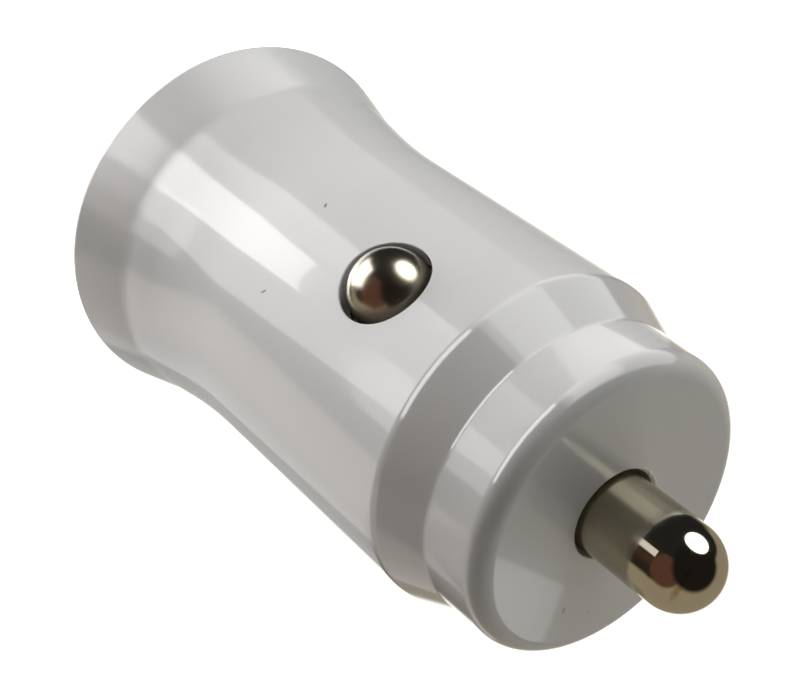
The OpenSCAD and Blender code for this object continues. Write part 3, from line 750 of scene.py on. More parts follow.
@dataclass(frozen=True)
class CircuitBoard(Finish):
    """Glass-epoxy board under green solder mask: its weave shows faintly and copper tracks stand proud."""

    name: str = "board_mask"
    mask: RGB = (0.012, 0.11, 0.045)
    track: RGB = (0.03, 0.22, 0.08)
    thread: RGB = (0.02, 0.06, 0.03)
    shadow: RGB = (0.01, 0.05, 0.02)
    cells: float = 620
    threads: float = 12000
    relief: float = 0.03

    def dress(self, g: Graph, shader: Node, effects: Effects) -> None:
        """Gives the board its tracks, along the edges of random cells, and its weave, a product of two sines.

        Args:
            g: Graph of the material.
            shader: Principled node.
            effects: Shared effects; not used.
        """
        flat = g.add("SeparateXYZ", {0: g.place()}).outputs
        sheet = g.add("CombineXYZ", {0: flat[0], 1: flat[2]}).outputs[0]
        values = {"Vector": sheet, "Scale": self.cells, "Randomness": 0.75}
        cell = g.add("TexVoronoi", values, distance="CHEBYCHEV").outputs["Distance"]
        edge = g.add("TexVoronoi", values, feature="DISTANCE_TO_EDGE").outputs["Distance"]
        track = g.fit(edge, 0.05, 0.09)
        warp, weft = (g.math("SINE", g.times(flat[axis], self.threads)) for axis in (0, 2))
        weave = g.fit(g.times(warp, weft), -1, 1)
        shade = g.mix(g.times(weave, 0.25), g.mix(track, self.mask, self.track), self.thread)
        shade = g.mix(g.fit(cell, 0.1, 0.6, 0, 0.2), shade, self.shadow)
        normal = g.bump(g.plus(track, g.times(weave, 0.12)), self.relief * MM)
        rough = g.fit(weave, 0, 1, 0.28, 0.4)
        g.link(shader, {"Base Color": shade, "Roughness": rough, "Normal": normal})


# ---- Sub-assemblies


@dataclass
class Housing:
    """The white moulding: collar, barrel, shoulder, neck and nose, with its bore and three contact holes."""

    body_r: float = 10.3
    wall: float = 1.5
    collar_r: float = 12.42
    rim_round: float = 0.4
    bend_z: float = 4.9
    bend_r: float = 11.11
    bend_round: float = 9.0
    flare_len: float = 10.2
    flare_round: float = 40.0
    shoulder_z: float = 30.55
    shoulder_len: float = 2.85
    shoulder_round: float = 1.4
    neck_r: float = 9.1
    neck_round: float = 0.8
    nose_r: float = 8.975
    nose_round: float = 1.15
    length: float = 37.45
    recess_r: float = 10.92
    recess_z: float = 1.9
    tip_hole_r: float = 2.66
    side_hole_r: float = 2.63
    hole_round: float = 0.1
    inner_round: float = 0.2
    nose_inner_round: float = 0.4
    columns: int = 192
    window_columns: int = 13
    window_half_h: float = 4.2
    window_row: float = 0.3
    rings: int = 8
    outer_rim_steps: int = 7
    inner_rim_steps: int = 5
    flash_from: float = -108
    flash_sweep: float = 46
    flash_off: tuple[float, float] = (0.16, 0.02)
    flash_half: tuple[float, float] = (0.13, 0.12)
    flash_grid: tuple[int, int] = (40, 10)

    def outline(self) -> Outline:
        """Draws the moulding's section.

        Returns:
            The outline, outside up and inside down, with plain corners at the windows' ends.
        """
        bore, nose_bore = self.body_r - self.wall, self.neck_r - self.wall
        slope = math.atan((self.body_r - self.neck_r) / self.shoulder_len)
        drop = self.wall * math.tan(slope / 2)
        low, high = SIDE_Z - self.window_half_h, SIDE_Z + self.window_half_h
        floor = self.length - self.wall
        return Outline(
            (
                (self.recess_r, 0, self.hole_round),
                (self.collar_r, 0, self.rim_round),
                (self.bend_r, self.bend_z, self.bend_round),
                (self.body_r, self.flare_len, self.flare_round),
                (self.body_r, low, 0),
                (self.body_r, high, 0),
                (self.body_r, self.shoulder_z, self.shoulder_round),
                (self.neck_r, self.shoulder_z + self.shoulder_len, self.neck_round),
                (self.nose_r, self.length, self.nose_round),
                (self.tip_hole_r, self.length, self.hole_round),
                (self.tip_hole_r, floor, self.hole_round),
                (nose_bore, floor, self.nose_inner_round),
                (nose_bore, self.shoulder_z + self.shoulder_len - drop, self.inner_round),
                (bore, self.shoulder_z - drop, self.inner_round),
                (bore, high, 0),
                (bore, low, 0),
                (bore, self.recess_z, self.hole_round),
                (self.recess_r, self.recess_z, self.hole_round),
            ),
            closed=True,
            span=self.window_row,
        )

    def _rows(self, line: np.ndarray, radius: float) -> np.ndarray:
        """Finds the outline points that lie on a wall within the window.

        Args:
            line: Outline points, (radius, height).
            radius: Radius of the wall.

        Returns:
            Their numbers, from the lowest point up.
        """
        on_wall = np.abs(line[:, 0] - radius) < TOUCHING
        near = np.abs(line[:, 1] - SIDE_Z) < self.window_half_h + TOUCHING
        found = np.flatnonzero(on_wall & near)
        return found[np.argsort(line[found, 1])]

    def _loop(self, rows: np.ndarray, side: int) -> np.ndarray:
        """Point numbers round a window of the grid, seen from outside: bottom, right, top and left edge.

        Args:
            rows: Rows of the grid that the window spans, from the lowest up.
            side: 0 for the window on +X and 1 for the one on -X.

        Returns:
            The numbers in order.
        """
        k = self.window_columns
        across = (np.arange(-k, k + 1) + side * self.columns // 2) % self.columns
        edges = [
            rows[0] * self.columns + across[:-1],
            rows[:-1] * self.columns + across[-1],
            rows[-1] * self.columns + across[:0:-1],
            rows[:0:-1] * self.columns + across[0],
        ]
        return np.concatenate(edges)

    def _hole(self, outer: np.ndarray, inner: np.ndarray) -> tuple[np.ndarray, np.ndarray]:
        """Rings of points from the outer window's edge through the hole to the inner window's edge.

        On each wall a ring lies between the window's edge and the hole's circle, by equal shares, in the
        plane across the hole, and x = sqrt(R^2 - y^2) puts it on the wall. The rim is a quarter arc between
        wall and hole: it goes in by e (1 - cos a) while its radius shrinks by e sin a.

        Args:
            outer: Window edge on the outer wall, as points about +X.
            inner: The same on the inner wall.

        Returns:
            Ring points and normals, with one table row for each ring.
        """
        e, bore = self.hole_round, self.body_r - self.wall
        angle = np.arctan2(outer[:, 2] - SIDE_Z, outer[:, 1])
        way = np.stack([np.cos(angle), np.sin(angle)], 1)
        middle = np.array([0.0, SIDE_Z])
        points, normals = [], []

        def add(across: np.ndarray, radius: float, sink: float, lean: float, sign: float) -> None:
            """Adds a ring of points and normals.

            Args:
                across: Places in the plane across the hole.
                radius: Radius of the wall.
                sink: How deep the ring lies in the wall.
                lean: How far its normals lean from the wall towards the hole's middle.
                sign: 1 on the outer wall and -1 on the inner one.
            """
            x = np.sqrt(radius**2 - across[:, 0] ** 2)
            wall = np.stack([x / radius, across[:, 0] / radius, np.zeros_like(x)], 1) * sign
            void = np.stack([np.zeros_like(x), -way[:, 0], -way[:, 1]], 1)
            points.append(np.stack([x - sink * sign, across[:, 0], across[:, 1]], 1))
            facing = wall * math.cos(lean) + void * math.sin(lean)
            normals.append(facing / np.linalg.norm(facing, axis=1)[:, None])

        def rim(leans: np.ndarray, radius: float, sign: float) -> None:
            """Adds the quarter arc between a wall and the hole.

            Args:
                leans: How far each ring's normals lean, in radians.
                radius: Radius of the wall.
                sign: 1 on the outer wall and -1 on the inner one.
            """
            for lean in leans:
                across = middle + way * (self.side_hole_r + e * (1 - math.sin(lean)))
                add(across, radius, e * (1 - math.cos(lean)), lean, sign)

        circle = middle + way * (self.side_hole_r + e)
        shares = np.arange(1, self.rings) / self.rings
        for share in shares:
            add(outer[:, 1:] * (1 - share) + circle * share, self.body_r, 0, 0, 1)
        rim(np.linspace(0, math.pi / 2, self.outer_rim_steps), self.body_r, 1)
        rim(np.linspace(math.pi / 2, 0, self.inner_rim_steps), bore, -1)
        for share in shares:
            add(circle * (1 - share) + inner[:, 1:] * share, bore, 0, 0, -1)
        return np.stack(points), np.stack(normals)

    def surface(self) -> Surface:
        """Turns the outline, leaves out the two windows on each wall and fills them round the side holes.

        Returns:
            The whole moulding.
        """
        line, facing = self.outline().sample()
        whole = revolved(line, facing, self.columns, closed=True)
        outer_rows, inner_rows = self._rows(line, self.body_r), self._rows(line, self.body_r - self.wall)
        skip = np.zeros((len(line), self.columns), dtype=bool)
        k = self.window_columns
        for side in (0, 1):
            across = (np.arange(-k, k) + side * self.columns // 2) % self.columns
            for rows in (outer_rows, inner_rows):
                skip[np.ix_(np.sort(rows)[:-1], across)] = True
        faces = grid_faces(len(line), self.columns, wrap_rows=True, skip=skip).tolist()
        points, normals = [whole.points], [whole.normals]
        count = len(whole.points)
        for side in (0, 1):
            outer, inner = self._loop(outer_rows, side), self._loop(inner_rows, side)
            flip = np.array([1, 1, 1]) if side == 0 else np.array([-1, -1, 1])
            ring_points, ring_normals = self._hole(whole.points[outer] * flip, whole.points[inner] * flip)
            rings, size = ring_points.shape[:2]
            numbers = np.vstack([outer, count + np.arange(rings * size).reshape(rings, size), inner])
            after = np.roll(numbers, -1, axis=1)
            cells = np.stack([numbers[:-1], after[:-1], after[1:], numbers[1:]], -1)
            faces += cells.reshape(-1, 4).tolist()
            points.append(ring_points.reshape(-1, 3) * flip)
            normals.append(ring_normals.reshape(-1, 3) * flip)
            count += rings * size
        return Surface(np.vstack(points), np.vstack(normals), faces)

    def flash(self) -> Surface:
        """The moulding flash on the nose hole's edge: a thin flake that follows the edge for a few degrees.

        It is a tube round an arc of the hole. Its thickness is a half sine along the arc with a ripple, so
        that it runs out to nothing at both ends.

        Returns:
            The flake.
        """
        along, sides = self.flash_grid
        (out, up), (half_width, half_height) = self.flash_off, self.flash_half
        u = np.linspace(0, 1, along)[:, None]
        v = np.arange(sides)[None] * FULL_TURN / sides
        swell = np.sin(math.pi * u) ** 0.7 * (0.75 + 0.25 * np.sin(23 * u + 1)) + 0.02
        radius = self.tip_hole_r + out + half_width * swell * np.cos(v)
        height = self.length + up + half_height * swell * np.sin(v) * (1 + 0.5 * np.sin(31 * u))
        return tube(radius, height, np.radians(self.flash_from + self.flash_sweep * u), v)

    def build(self, finish: Material) -> None:
        """Makes the moulding and its flash.

        Args:
            finish: Material.
        """
        shell = self.surface().piece("housing_moulding", "plug", "housing_plastic", finish)
        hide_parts("housing")
        self.flash().piece("nose_hole_flash", "plug", "housing_plastic", finish)
        LOG.info("housing: %d faces", len(shell.data.polygons))


@dataclass
class Contact:
    """A turned contact: spigot, flange, shank and ball end. Heights run along its own axis."""

    name: str
    node: str
    body: str
    base: float
    top: float
    shank_r: float
    flange_r: float
    flange_t: float
    spigot_r: float = 1.3
    spigot_len: float = 1.8
    edge: float = 0.12
    columns: int = 96

    def surface(self) -> Surface:
        """Turns the outline from the spigot's end to the ball, whose arc has the shank's own radius.

        Returns:
            The contact, standing on its own axis.
        """
        flange_top = self.base + self.flange_t
        line, facing = Outline(
            (
                (0, self.base - self.spigot_len, 0),
                (self.spigot_r, self.base - self.spigot_len, self.edge),
                (self.spigot_r, self.base, self.edge / 2),
                (self.flange_r, self.base, self.edge),
                (self.flange_r, flange_top, self.edge),
                (self.shank_r, flange_top, self.edge),
                (self.shank_r, self.top, self.shank_r),
                (0, self.top, 0),
            ),
            arc_step=math.radians(3),
            span=0.3,
        ).sample()
        return revolved(line, facing, self.columns)

    def build(self, finish: Material, turn: Matrix, shift: Triple) -> None:
        """Makes the contact in its place.

        Args:
            finish: Material.
            turn: Rotation from the contact's own axis to its place.
            shift: Place of its origin, in millimetres.
        """
        piece = self.surface().placed(turn, shift).piece(self.name, self.body, "nickel", finish)
        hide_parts(self.node)
        LOG.info("%s: %d faces", self.name, len(piece.data.polygons))


@dataclass
class Coil:
    """A coil spring of round wire whose first and last turns lie closed. Steps are points in one turn."""

    length: float
    turns: float
    wire: float = 0.5
    outer_d: float = 4.3
    clearance: float = 0.06
    sides: int = 12
    steps: int = 40

    def surface(self, first: float = 0.0, last: float = 1.0) -> Surface:
        """Carries the wire's circle round a helix.

        The circle's centre is at (m cos a, m sin a), where m is the mean radius and a the turned angle. Its
        height grows by the closed pitch over the first and last turn and by the open pitch between them.

        Args:
            first: Share of the turns at which the wire begins.
            last: Share of the turns at which it ends.

        Returns:
            The wire's surface, closed at both ends.
        """
        dead = self.wire + self.clearance
        pitch = (self.length - self.wire - 2 * dead) / (self.turns - 2)
        u = self.turns * np.linspace(first, last, round(self.turns * self.steps * (last - first)) + 1)
        stretch = dead + (self.turns - 2) * pitch
        rise = np.interp(u, [0, 1, self.turns - 1, self.turns], [0, dead, stretch, stretch + dead])
        mean = (self.outer_d - self.wire) / 2
        v = np.arange(self.sides)[None] * FULL_TURN / self.sides
        radius = mean + self.wire / 2 * (np.cos(v) + 0 * u[:, None])
        height = self.wire / 2 * (1 + np.sin(v)) + rise[:, None]
        return tube(radius, height, FULL_TURN * u[:, None], v)


@dataclass
class Springs:
    """The centre spring, and the side spring in two halves, all carried by the plug."""

    tip_from: float = 27.9
    tip_length: float = 6.8
    tip_travel: float = 3.0
    tip_turns: float = 6
    side_half: float = SIDE_BASE
    side_travel: float = 1.25
    side_turns: float = 11
    side_z: float = SIDE_Z

    def build(self, finish: Material) -> None:
        """Makes the springs on the plug's body.

        Args:
            finish: Material.
        """
        tip = Coil(self.tip_length, self.tip_turns).surface().placed(Matrix(), (0, 0, self.tip_from))
        piece = tip.piece("centre_spring", "plug", "spring_steel", finish)
        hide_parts("tip_spring")
        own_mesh(piece)
        along_x = Matrix.Rotation(math.pi / 2, 3, "Y")
        coil = Coil(2 * self.side_half, self.side_turns)
        for name, joint, span in (("left", "left_press", (0.0, 0.5)), ("right", "right_press", (0.5, 1.0))):
            half = coil.surface(*span).placed(along_x, (-self.side_half, 0, self.side_z))
            piece = half.piece(f"side_spring_{name}", "plug", "spring_steel", finish)
            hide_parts("side_spring")
            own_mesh(piece)
        LOG.info("springs: centre and side")


@dataclass(frozen=True)
class KeptNode:
    """A CAD node that keeps its own solid, with its finish and the width of its softened edges.

    Where a node has places, the faces whose middles lie further than its reach from each of them, along its
    axis, are tin. Edges, places and reach are in millimetres.
    """

    name: str
    finish: str
    edge: float = 0.0
    axis: int = 0
    places: tuple[float, ...] = ()
    reach: float = 0.0
    segments: int = 2
    sharp: float = math.radians(40)

    def dress(self, materials: dict[str, Material]) -> None:
        """Gives the node its materials and softens its edges.

        Args:
            materials: Every finish, by name.
        """
        mesh = frame["nodes"][self.name].data
        mesh.materials.clear()
        mesh.materials.append(materials[self.finish])
        if self.places:
            mesh.materials.append(materials["tin"])
            middles = np.zeros(len(mesh.polygons) * 3)
            mesh.polygons.foreach_get("center", middles)
            along = middles.reshape(-1, 3)[:, self.axis, None] / MM
            away = np.abs(along - np.array(self.places)).min(axis=1)
            mesh.polygons.foreach_set("material_index", (away > self.reach).astype(np.int32))
            mesh.update()
        if self.edge:
            self._soften()

    def _soften(self) -> None:
        """Merges the node's triangles and rounds its edges, by modifiers."""
        thing = frame["nodes"][self.name]
        weld = thing.modifiers.new("merge", "WELD")
        weld.merge_threshold = TOUCHING
        bevel = thing.modifiers.new("edges", "BEVEL")
        bevel.width = self.edge * MM
        bevel.segments = self.segments
        bevel.limit_method = "ANGLE"
        bevel.angle_limit = self.sharp
        bevel.harden_normals = True


@dataclass
class CadPieces:
    """The CAD nodes that keep their own solids."""

    nodes: tuple[KeptNode, ...] = (
        KeptNode("face_plate", "plate", 0.12),
        KeptNode("usb_a_shell", "tin", 0.05),
        KeptNode("usb_a_tongue", "white_nylon", 0.08),
        KeptNode("usb_a_contacts", "gold"),
        KeptNode("usb_c_shell", "tin", 0.05),
        KeptNode("usb_c_tongue", "black_nylon", 0.03),
        KeptNode("usb_c_contacts", "gold"),
        KeptNode("main_board", "board"),
        KeptNode("inductor", "iron_powder", 0.06),
        KeptNode("contact_carrier", "grey_nylon", 0.06),
        KeptNode("tip_terminal", "brass"),
        KeptNode("side_terminal", "brass"),
        KeptNode("input_capacitor", "sleeve", 0, 2, (11.4,), 5.18),
        KeptNode("output_capacitor", "sleeve", 0, 2, (13.0,), 4.98),
        KeptNode("buck_controller", "epoxy", 0.04, 0, (-4.4,), 2.0),
        KeptNode("fast_charge_controller", "epoxy", 0, 1, (-2.1,), 0.801),
        KeptNode("rectifier_diode", "epoxy", 0.06, 2, (16.4,), 2.11),
        KeptNode("fuse", "fuse_ceramic", 0, 0, (-4.4,), 1.31),
        KeptNode("chip_resistors", "epoxy", 0, 0, (-0.3,), 0.51),
        KeptNode("ceramic_capacitors", "fired_clay", 0, 0, (-6.3, 6.3), 0.71),
    )

    def build(self, materials: dict[str, Material]) -> None:
        """Dresses every node that stays.

        Args:
            materials: Every finish, by name.
        """
        for node in self.nodes:
            node.dress(materials)
        LOG.info("nodes dressed: %d", len(self.nodes))


# ---- Stage


class Sees(Enum):
    """What a softbox gives: the reflection of its panel or its light on the form."""

    REFLECTION = "reflection"
    SHADING = "shading"


class Onto(Enum):
    """Which pieces a panel reaches."""

    ALL = "all"
    MOULDING = "moulding"
    HOUSING = "housing"
    METAL = "metal"
    PIN = "pin"
    DOMES = "domes"


def aim(azimuth: float, elevation: float) -> Vector:
    """Gives the unit vector towards a direction in degrees."""
    a, e = math.radians(azimuth), math.radians(elevation)
    return Vector((math.cos(a) * math.cos(e), math.sin(a) * math.cos(e), math.sin(e)))


@dataclass(frozen=True)
class Softbox:
    """A soft panel light that faces the plug. Its direction is seen from the plug's middle, in degrees."""

    name: str
    azimuth: float
    elevation: float
    width: float
    height: float
    radiance: float
    sees: Sees = Sees.REFLECTION
    onto: Onto = Onto.ALL
    colour: RGB = (1, 1, 1)
    roll: float = 0.0
    distance: float = 300.0
    oval: bool = False

    def build(self, middle: Vector, receivers: dict[Onto, bpy.types.Collection]) -> None:
        """Makes the light.

        Its strength in watts is the panel's radiance times pi and its area.

        Args:
            middle: Point that the panel faces, in metres.
            receivers: Pieces that each kind of panel reaches.
        """
        data = bpy.data.lights.new(self.name, "AREA")
        data.shape = "ELLIPSE" if self.oval else "RECTANGLE"
        data.size, data.size_y = self.width * MM, self.height * MM
        area = data.size * data.size_y * (math.pi / 4 if self.oval else 1)
        data.energy = self.radiance * math.pi * area
        data.color = self.colour
        lamp = add_object(self.name, data)
        way = aim(self.azimuth, self.elevation)
        roll = Matrix.Rotation(math.radians(self.roll), 3, "Z").to_quaternion()
        turn = way.to_track_quat("Z", "Y") @ roll
        lamp.matrix_world = Matrix.LocRotScale(middle + way * self.distance * MM, turn, None)
        lamp.visible_camera = False
        lamp.visible_diffuse = self.sees is Sees.SHADING
        lamp.visible_glossy = self.sees is Sees.REFLECTION
        if self.onto in receivers:
            lamp.light_linking.receiver_collection = receivers[self.onto]


@dataclass(frozen=True)
class RoomPatch:
    """A soft-edged round patch of another tone in the room that the plug reflects."""

    azimuth: float
    elevation: float
    reach: float
    soft: float
    tone: RGB


@dataclass
class Studio:
    """Pale floor, soft panels, soft surroundings and the camera at the photograph's place."""

    camera_at: Triple = (64.1169, 13.9723, 77.9062)
    right: Triple = (-0.383979, -0.714932, 0.584322)
    up: Triple = (0.569531, -0.681494, -0.459565)
    back: Triple = (0.72677, 0.156326, 0.668856)
    lens: float = 66.806
    sensor: float = 36
    clip: tuple[float, float] = (0.005, 10)
    middle: Triple = (0, 0, 0.022)
    floor_r: float = 1.6
    floor_middle: float = 0.01
    floor_rings: int = 24
    floor_columns: int = 96
    floor_drop: float = 0.05
    floor_tones: tuple[RGB, RGB] = ((0.9, 0.9, 0.9), (0.94, 0.94, 0.94))
    floor_glow: float = 0.86
    housing_pieces: tuple[str, ...] = ("housing_moulding", "nose_hole_flash")
    metal_pieces: tuple[str, ...] = ("centre_contact", "right_side_contact", "left_side_contact")
    room: RGB = (0.36, 0.31, 0.235)
    soft_low: RGB = (0.11, 0.1, 0.095)
    soft_high: RGB = (0.12, 0.12, 0.112)
    patches: tuple[RoomPatch, ...] = (
        RoomPatch(150, -58, 22, 12, (0.08, 0.07, 0.06)),
        RoomPatch(-168, -24, 14, 14, (1.3, 1.27, 1.2)),
        RoomPatch(36, -22, 36, 10, (0.03, 0.022, 0.018)),
        RoomPatch(44, 9, 33, 10, (0.12, 0.055, 0.04)),
        RoomPatch(-50, 0, 56, 8, (0.02, 0.02, 0.02)),
        RoomPatch(-25, 60, 48, 14, (0.015, 0.013, 0.012)),
        RoomPatch(-70, -50, 42, 12, (0.02, 0.02, 0.02)),
    )
    panels: tuple[Softbox, ...] = (
        Softbox("table", -80, -86, 890, 890, 0.38, onto=Onto.MOULDING, oval=True),
        Softbox("table_right", -45, -58, 330, 330, 0.25, onto=Onto.MOULDING),
        Softbox("table_left", 108, -60, 270, 310, 0.37, onto=Onto.MOULDING, colour=(1, 0.97, 0.97)),
        Softbox("band_left", 118, -14, 460, 80, 0.4, onto=Onto.HOUSING, colour=(1, 0.96, 0.96)),
        Softbox("band_front", 12, -12, 330, 100, 4.6, onto=Onto.HOUSING, colour=(1, 0.98, 1)),
        Softbox("window_high", -63, 3, 530, 450, 1.3, onto=Onto.HOUSING, roll=6),
        Softbox("window_high_heart", -46, 8, 200, 340, 1.35, onto=Onto.HOUSING, roll=6),
        Softbox("window_low", 17, -60, 280, 350, 1.4, onto=Onto.HOUSING, colour=(1, 0.98, 0.99), roll=5),
        Softbox("window_step", 40, -35, 140, 66, 1.2, onto=Onto.HOUSING, colour=(1, 0.98, 0.99)),
        Softbox(
            "window_low_heart", 14, -70, 11, 45, 2.9, onto=Onto.HOUSING, colour=(1, 0.96, 0.985), distance=38
        ),
        Softbox("card_far", 177, 44, 9, 10, 0.8, onto=Onto.HOUSING, roll=25, distance=71),
        Softbox(
            "glint_high", -61, 13, 265, 275, 3.0, onto=Onto.METAL, colour=(1, 0.99, 0.9), roll=20, oval=True
        ),
        Softbox("glint_pin", 24, -46, 38, 128, 0.95, onto=Onto.PIN, colour=(1, 0.96, 0.96), distance=140),
        Softbox("glint_dome", 22, -54, 112, 128, 2.4, onto=Onto.DOMES, colour=(1, 0.96, 0.96), distance=140),
        Softbox("fill_low", 27, -61, 320, 320, 3.2, Sees.SHADING, colour=(1, 0.975, 0.975)),
        Softbox("fill_side", -62, 0, 320, 320, 1.85, Sees.SHADING),
        Softbox("fill_far", -169, 25, 320, 320, 1.1, Sees.SHADING, colour=(0.97, 1, 0.97)),
    )

    def _camera(self) -> None:
        """Places the camera by its three axes, which were fitted to the object's outline."""
        data = bpy.data.cameras.new("photo_camera")
        data.lens, data.sensor_width = self.lens, self.sensor
        data.clip_start, data.clip_end = self.clip
        camera = add_object("photo_camera", data)
        turn = Matrix((self.right, self.up, self.back)).transposed().to_4x4()
        camera.matrix_world = Matrix.Translation(Vector(self.camera_at) * MM) @ turn
        bpy.context.scene.camera = camera

    def _floor(self) -> None:
        """Lays the floor a hair below the rim: rings of points on a level plane, closed at the middle."""
        radii = np.concatenate([[0.0], np.geomspace(self.floor_middle, self.floor_r, self.floor_rings)])
        line = np.stack([radii[::-1], np.full(len(radii), -self.floor_drop * MM)], 1)
        sheet = revolved(line, np.tile([0.0, 1.0], (len(radii), 1)), self.floor_columns)
        mesh = bpy.data.meshes.new("pale_floor")
        mesh.from_pydata(sheet.points.tolist(), [], sheet.faces)
        floor = add_object("pale_floor", mesh)
        material, g, shader = new_material("pale_floor")
        tone = g.fit(g.noise(g.place(), 9, 3, 0.5), 0.3, 0.7)
        g.link(shader, {"Base Color": g.mix(tone, *self.floor_tones)})
        settle(shader, {"Roughness": 0.9, "Specular IOR Level": 0.0})
        settle(shader, {"Emission Color": (1, 1, 1, 1), "Emission Strength": self.floor_glow})
        clear = g.add("BsdfTransparent")
        under = g.add("NewGeometry").outputs["Backfacing"]
        both = g.add("MixShader", {0: under, 1: shader.outputs[0], 2: clear.outputs[0]})
        g.link(g.tree.nodes["Material Output"], {"Surface": both.outputs[0]})
        mesh.materials.append(material)
        floor.visible_glossy = floor.visible_diffuse = floor.visible_shadow = False

    def _surroundings(self) -> None:
        """The room: white to the camera, a soft gradient for shading, and patches of tone for reflections."""
        world = bpy.data.worlds.new("studio_room")
        bpy.context.scene.world = world
        world.use_nodes = True
        world.node_tree.nodes.clear()
        g = Graph(world.node_tree)
        way = g.vector("NORMALIZE", g.add("TexCoord").outputs["Generated"])
        shade = self.room
        for patch in self.patches:
            near = g.reading("DOT_PRODUCT", way, aim(patch.azimuth, patch.elevation))
            outside, inside = (math.cos(math.radians(v)) for v in (patch.reach + patch.soft, patch.reach))
            shade = g.mix(g.fit(near, outside, inside), shade, patch.tone)
        height = g.add("SeparateXYZ", {0: way}).outputs[2]
        soft = g.mix(g.fit(height, -0.6, 0.9), self.soft_low, self.soft_high)
        path = g.add("LightPath").outputs
        shade = g.mix(path["Is Diffuse Ray"], shade, soft)
        shade = g.mix(path["Is Camera Ray"], shade, (1, 1, 1))
        room = g.add("Background", {"Color": shade, "Strength": 1.0})
        g.add("OutputWorld", {"Surface": room.outputs[0]}).is_active_output = True

    def _receivers(self) -> dict[Onto, bpy.types.Collection]:
        """Gathers the pieces that each kind of panel reaches.

        The turned contacts form one group, and the centre contact and the side contacts one each. All other
        pieces form the moulding's group, and the housing and its flash the housing's.

        Returns:
            The groups by kind.
        """
        found = {kind: bpy.data.collections.new(f"lit_{kind.value}") for kind in Onto if kind is not Onto.ALL}
        for thing in bpy.data.objects:
            if thing.type != "MESH":
                continue
            kinds = [Onto.MOULDING]
            if thing.name in self.metal_pieces:
                kinds = [Onto.METAL, Onto.PIN if thing.name == self.metal_pieces[0] else Onto.DOMES]
            elif thing.name in self.housing_pieces:
                kinds.append(Onto.HOUSING)
            for kind in kinds:
                found[kind].objects.link(thing)
        return found

    def build(self) -> None:
        """Sets up the whole stage."""
        self._camera()
        self._floor()
        self._surroundings()
        receivers = self._receivers()
        for panel in self.panels:
            panel.build(Vector(self.middle), receivers)
        bpy.context.scene.view_settings.view_transform = "Standard"
        LOG.info("studio: %d panels", len(self.panels))


# ---- The whole plug


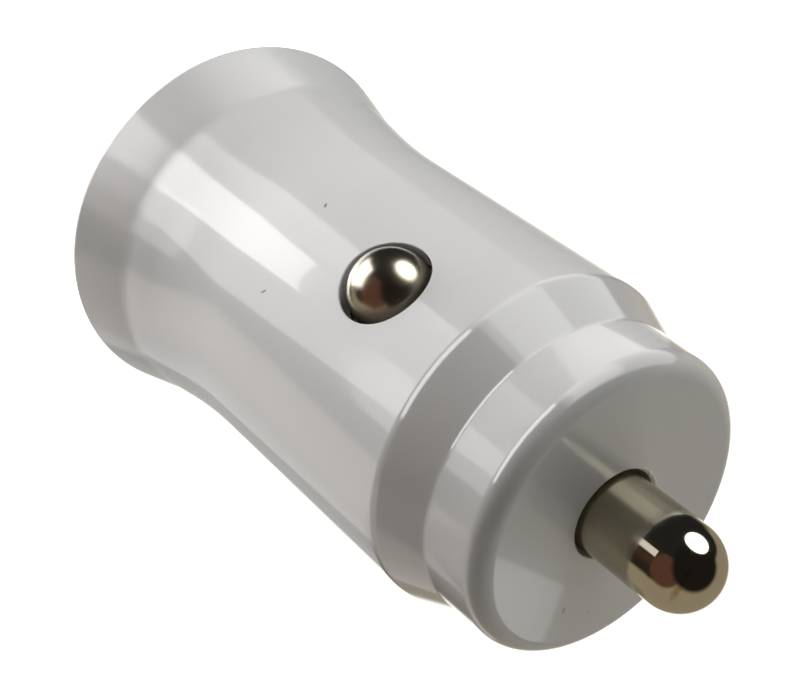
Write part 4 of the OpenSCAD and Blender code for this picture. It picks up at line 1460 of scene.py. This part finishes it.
@dataclass(frozen=True)
class Palette:
    """Every finish of the plug, by the name that the pieces use."""

    housing: MouldedPlastic = MouldedPlastic(
        "white_gloss_moulding",
        (0.80, 0.80, 0.79),
        gloss=0.16,
        coat=1.0,
        coat_gloss=0.045,
        soft_rim=0.2,
        marks=(
            Mark((10.19, -1.48, 16.46), (0.1, 0.75, 0.65), 0.13, 2.2),
            Mark((9.33, 4.35, 17.25), (0.3, -0.65, 0.7), 0.11, 3.0),
            Mark((10.44, 4.3, 4.51), (0.0, 0.7, 0.7), 0.11, 1.5, 0.5),
            Mark((-3.0, 5.05, 37.45), (0.8, -0.6, 0.0), 0.16, 2.5, 0.35),
            Mark((-4.87, 3.96, 37.45), (1.0, 0.0, 0.0), 0.08, 1.0, 0.6),
        ),
    )

    def materials(self, effects: Effects) -> dict[str, Material]:
        """Builds every finish.

        Args:
            effects: Shared effects.

        Returns:
            The materials by name.
        """
        nickel = (0.63, 0.585, 0.48)
        wear = (
            Mark((1.2, 1.3, 43.6), (0.7, -0.7, 0.2), 0.3, 3.0, 0.7),
            Mark((1.7, 0.4, 43.7), (0.2, 0.9, 0.4), 0.2, 3.5, 0.5),
        )
        finishes: dict[str, Finish] = {
            "housing": self.housing,
            "plate": MouldedPlastic(
                "white_satin_plate", (0.78, 0.78, 0.77), 0.3, rubs=0.3, texture=0.6, wave=0.006
            ),
            "tip": TurnedMetal(
                "nickel_centre",
                nickel,
                Axis.Z,
                gloss=0.08,
                satin=0.19,
                satin_from=40.8,
                satin_to=41.1,
                # the shank below the ball: an olive tint with painted shade
                tarnish_and_shade=(0.44, 0.4, 0.3),
                rings=0.7,
                wear=wear,
            ),
            "side": TurnedMetal(
                "nickel_side",
                nickel,
                Axis.X,
                gloss=0.22,
                satin=0.4,
                satin_from=10.1,
                satin_to=10.7,
                # painted shade at the domes' roots, where they sink into their holes
                tarnish_and_shade=(0.24, 0.21, 0.165),
                rings=0.4,
            ),
            "tin": RolledMetal("tin_plate", (0.62, 0.61, 0.59), 0.28),
            "gold": RolledMetal("gold_flash", (0.83, 0.6, 0.24), 0.2, (1, 1, 8)),
            "brass": RolledMetal("rolled_brass", (0.7, 0.52, 0.24), 0.27, (8, 1, 1)),
            "steel": RolledMetal("spring_wire", (0.5, 0.5, 0.5), 0.25, (2, 2, 2)),
            "white_nylon": MouldedPlastic("white_nylon", (0.74, 0.74, 0.71), 0.4, texture=0.5, wave=0.005),
            "black_nylon": MouldedPlastic("black_nylon", (0.02, 0.02, 0.022), 0.42, texture=0.5, wave=0.005),
            "grey_nylon": MouldedPlastic(
                "dark_grey_nylon", (0.06, 0.06, 0.064), 0.45, texture=0.6, wave=0.006
            ),
            "sleeve": MouldedPlastic("capacitor_sleeve", (0.025, 0.03, 0.06), 0.25, wave=0.004),
            "iron_powder": GrainedSolid("pressed_iron", (0.09, 0.09, 0.095), (0.2, 0.2, 0.2), 9000, 0.012),
            "epoxy": GrainedSolid("chip_epoxy", (0.02, 0.02, 0.022), (0.06, 0.06, 0.06), 16000, 0.004),
            "fired_clay": GrainedSolid(
                "fired_ceramic", (0.42, 0.26, 0.13), (0.55, 0.4, 0.25), 20000, 0.003, 0.5
            ),
            "fuse_ceramic": GrainedSolid(
                "fuse_ceramic", (0.72, 0.72, 0.68), (0.8, 0.8, 0.76), 20000, 0.003, 0.5
            ),
            "board": CircuitBoard(),
        }
        return {key: finish.build(effects) for key, finish in finishes.items()}


def main() -> None:
    logging.basicConfig(level=logging.INFO, format="%(name)s %(message)s")
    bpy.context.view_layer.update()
    materials = Palette().materials(Effects())
    Housing().build(materials["housing"])
    sizes = {"base": 34.7, "top": 44.5, "shank_r": 2.42, "flange_r": 3.2, "flange_t": 1.2}
    tip = Contact("centre_contact", "tip_contact", "tip", **sizes)
    tip.build(materials["tip"], Matrix.Identity(3), (0, 0, 0))
    sizes = {"base": SIDE_BASE, "top": 11.65, "shank_r": 2.35, "flange_r": 3.0, "flange_t": 0.8}
    for side, sign in (("right", 1), ("left", -1)):
        names = f"{side}_side_contact", f"side_contact_{side}", f"{side}_contact"
        contact = Contact(*names, **sizes)
        contact.build(materials["side"], Matrix.Rotation(sign * math.pi / 2, 3, "Y"), (0, 0, SIDE_Z))
    Springs().build(materials["steel"])
    CadPieces().build(materials)
    Studio().build()


if __name__ == "__main__":
    main()
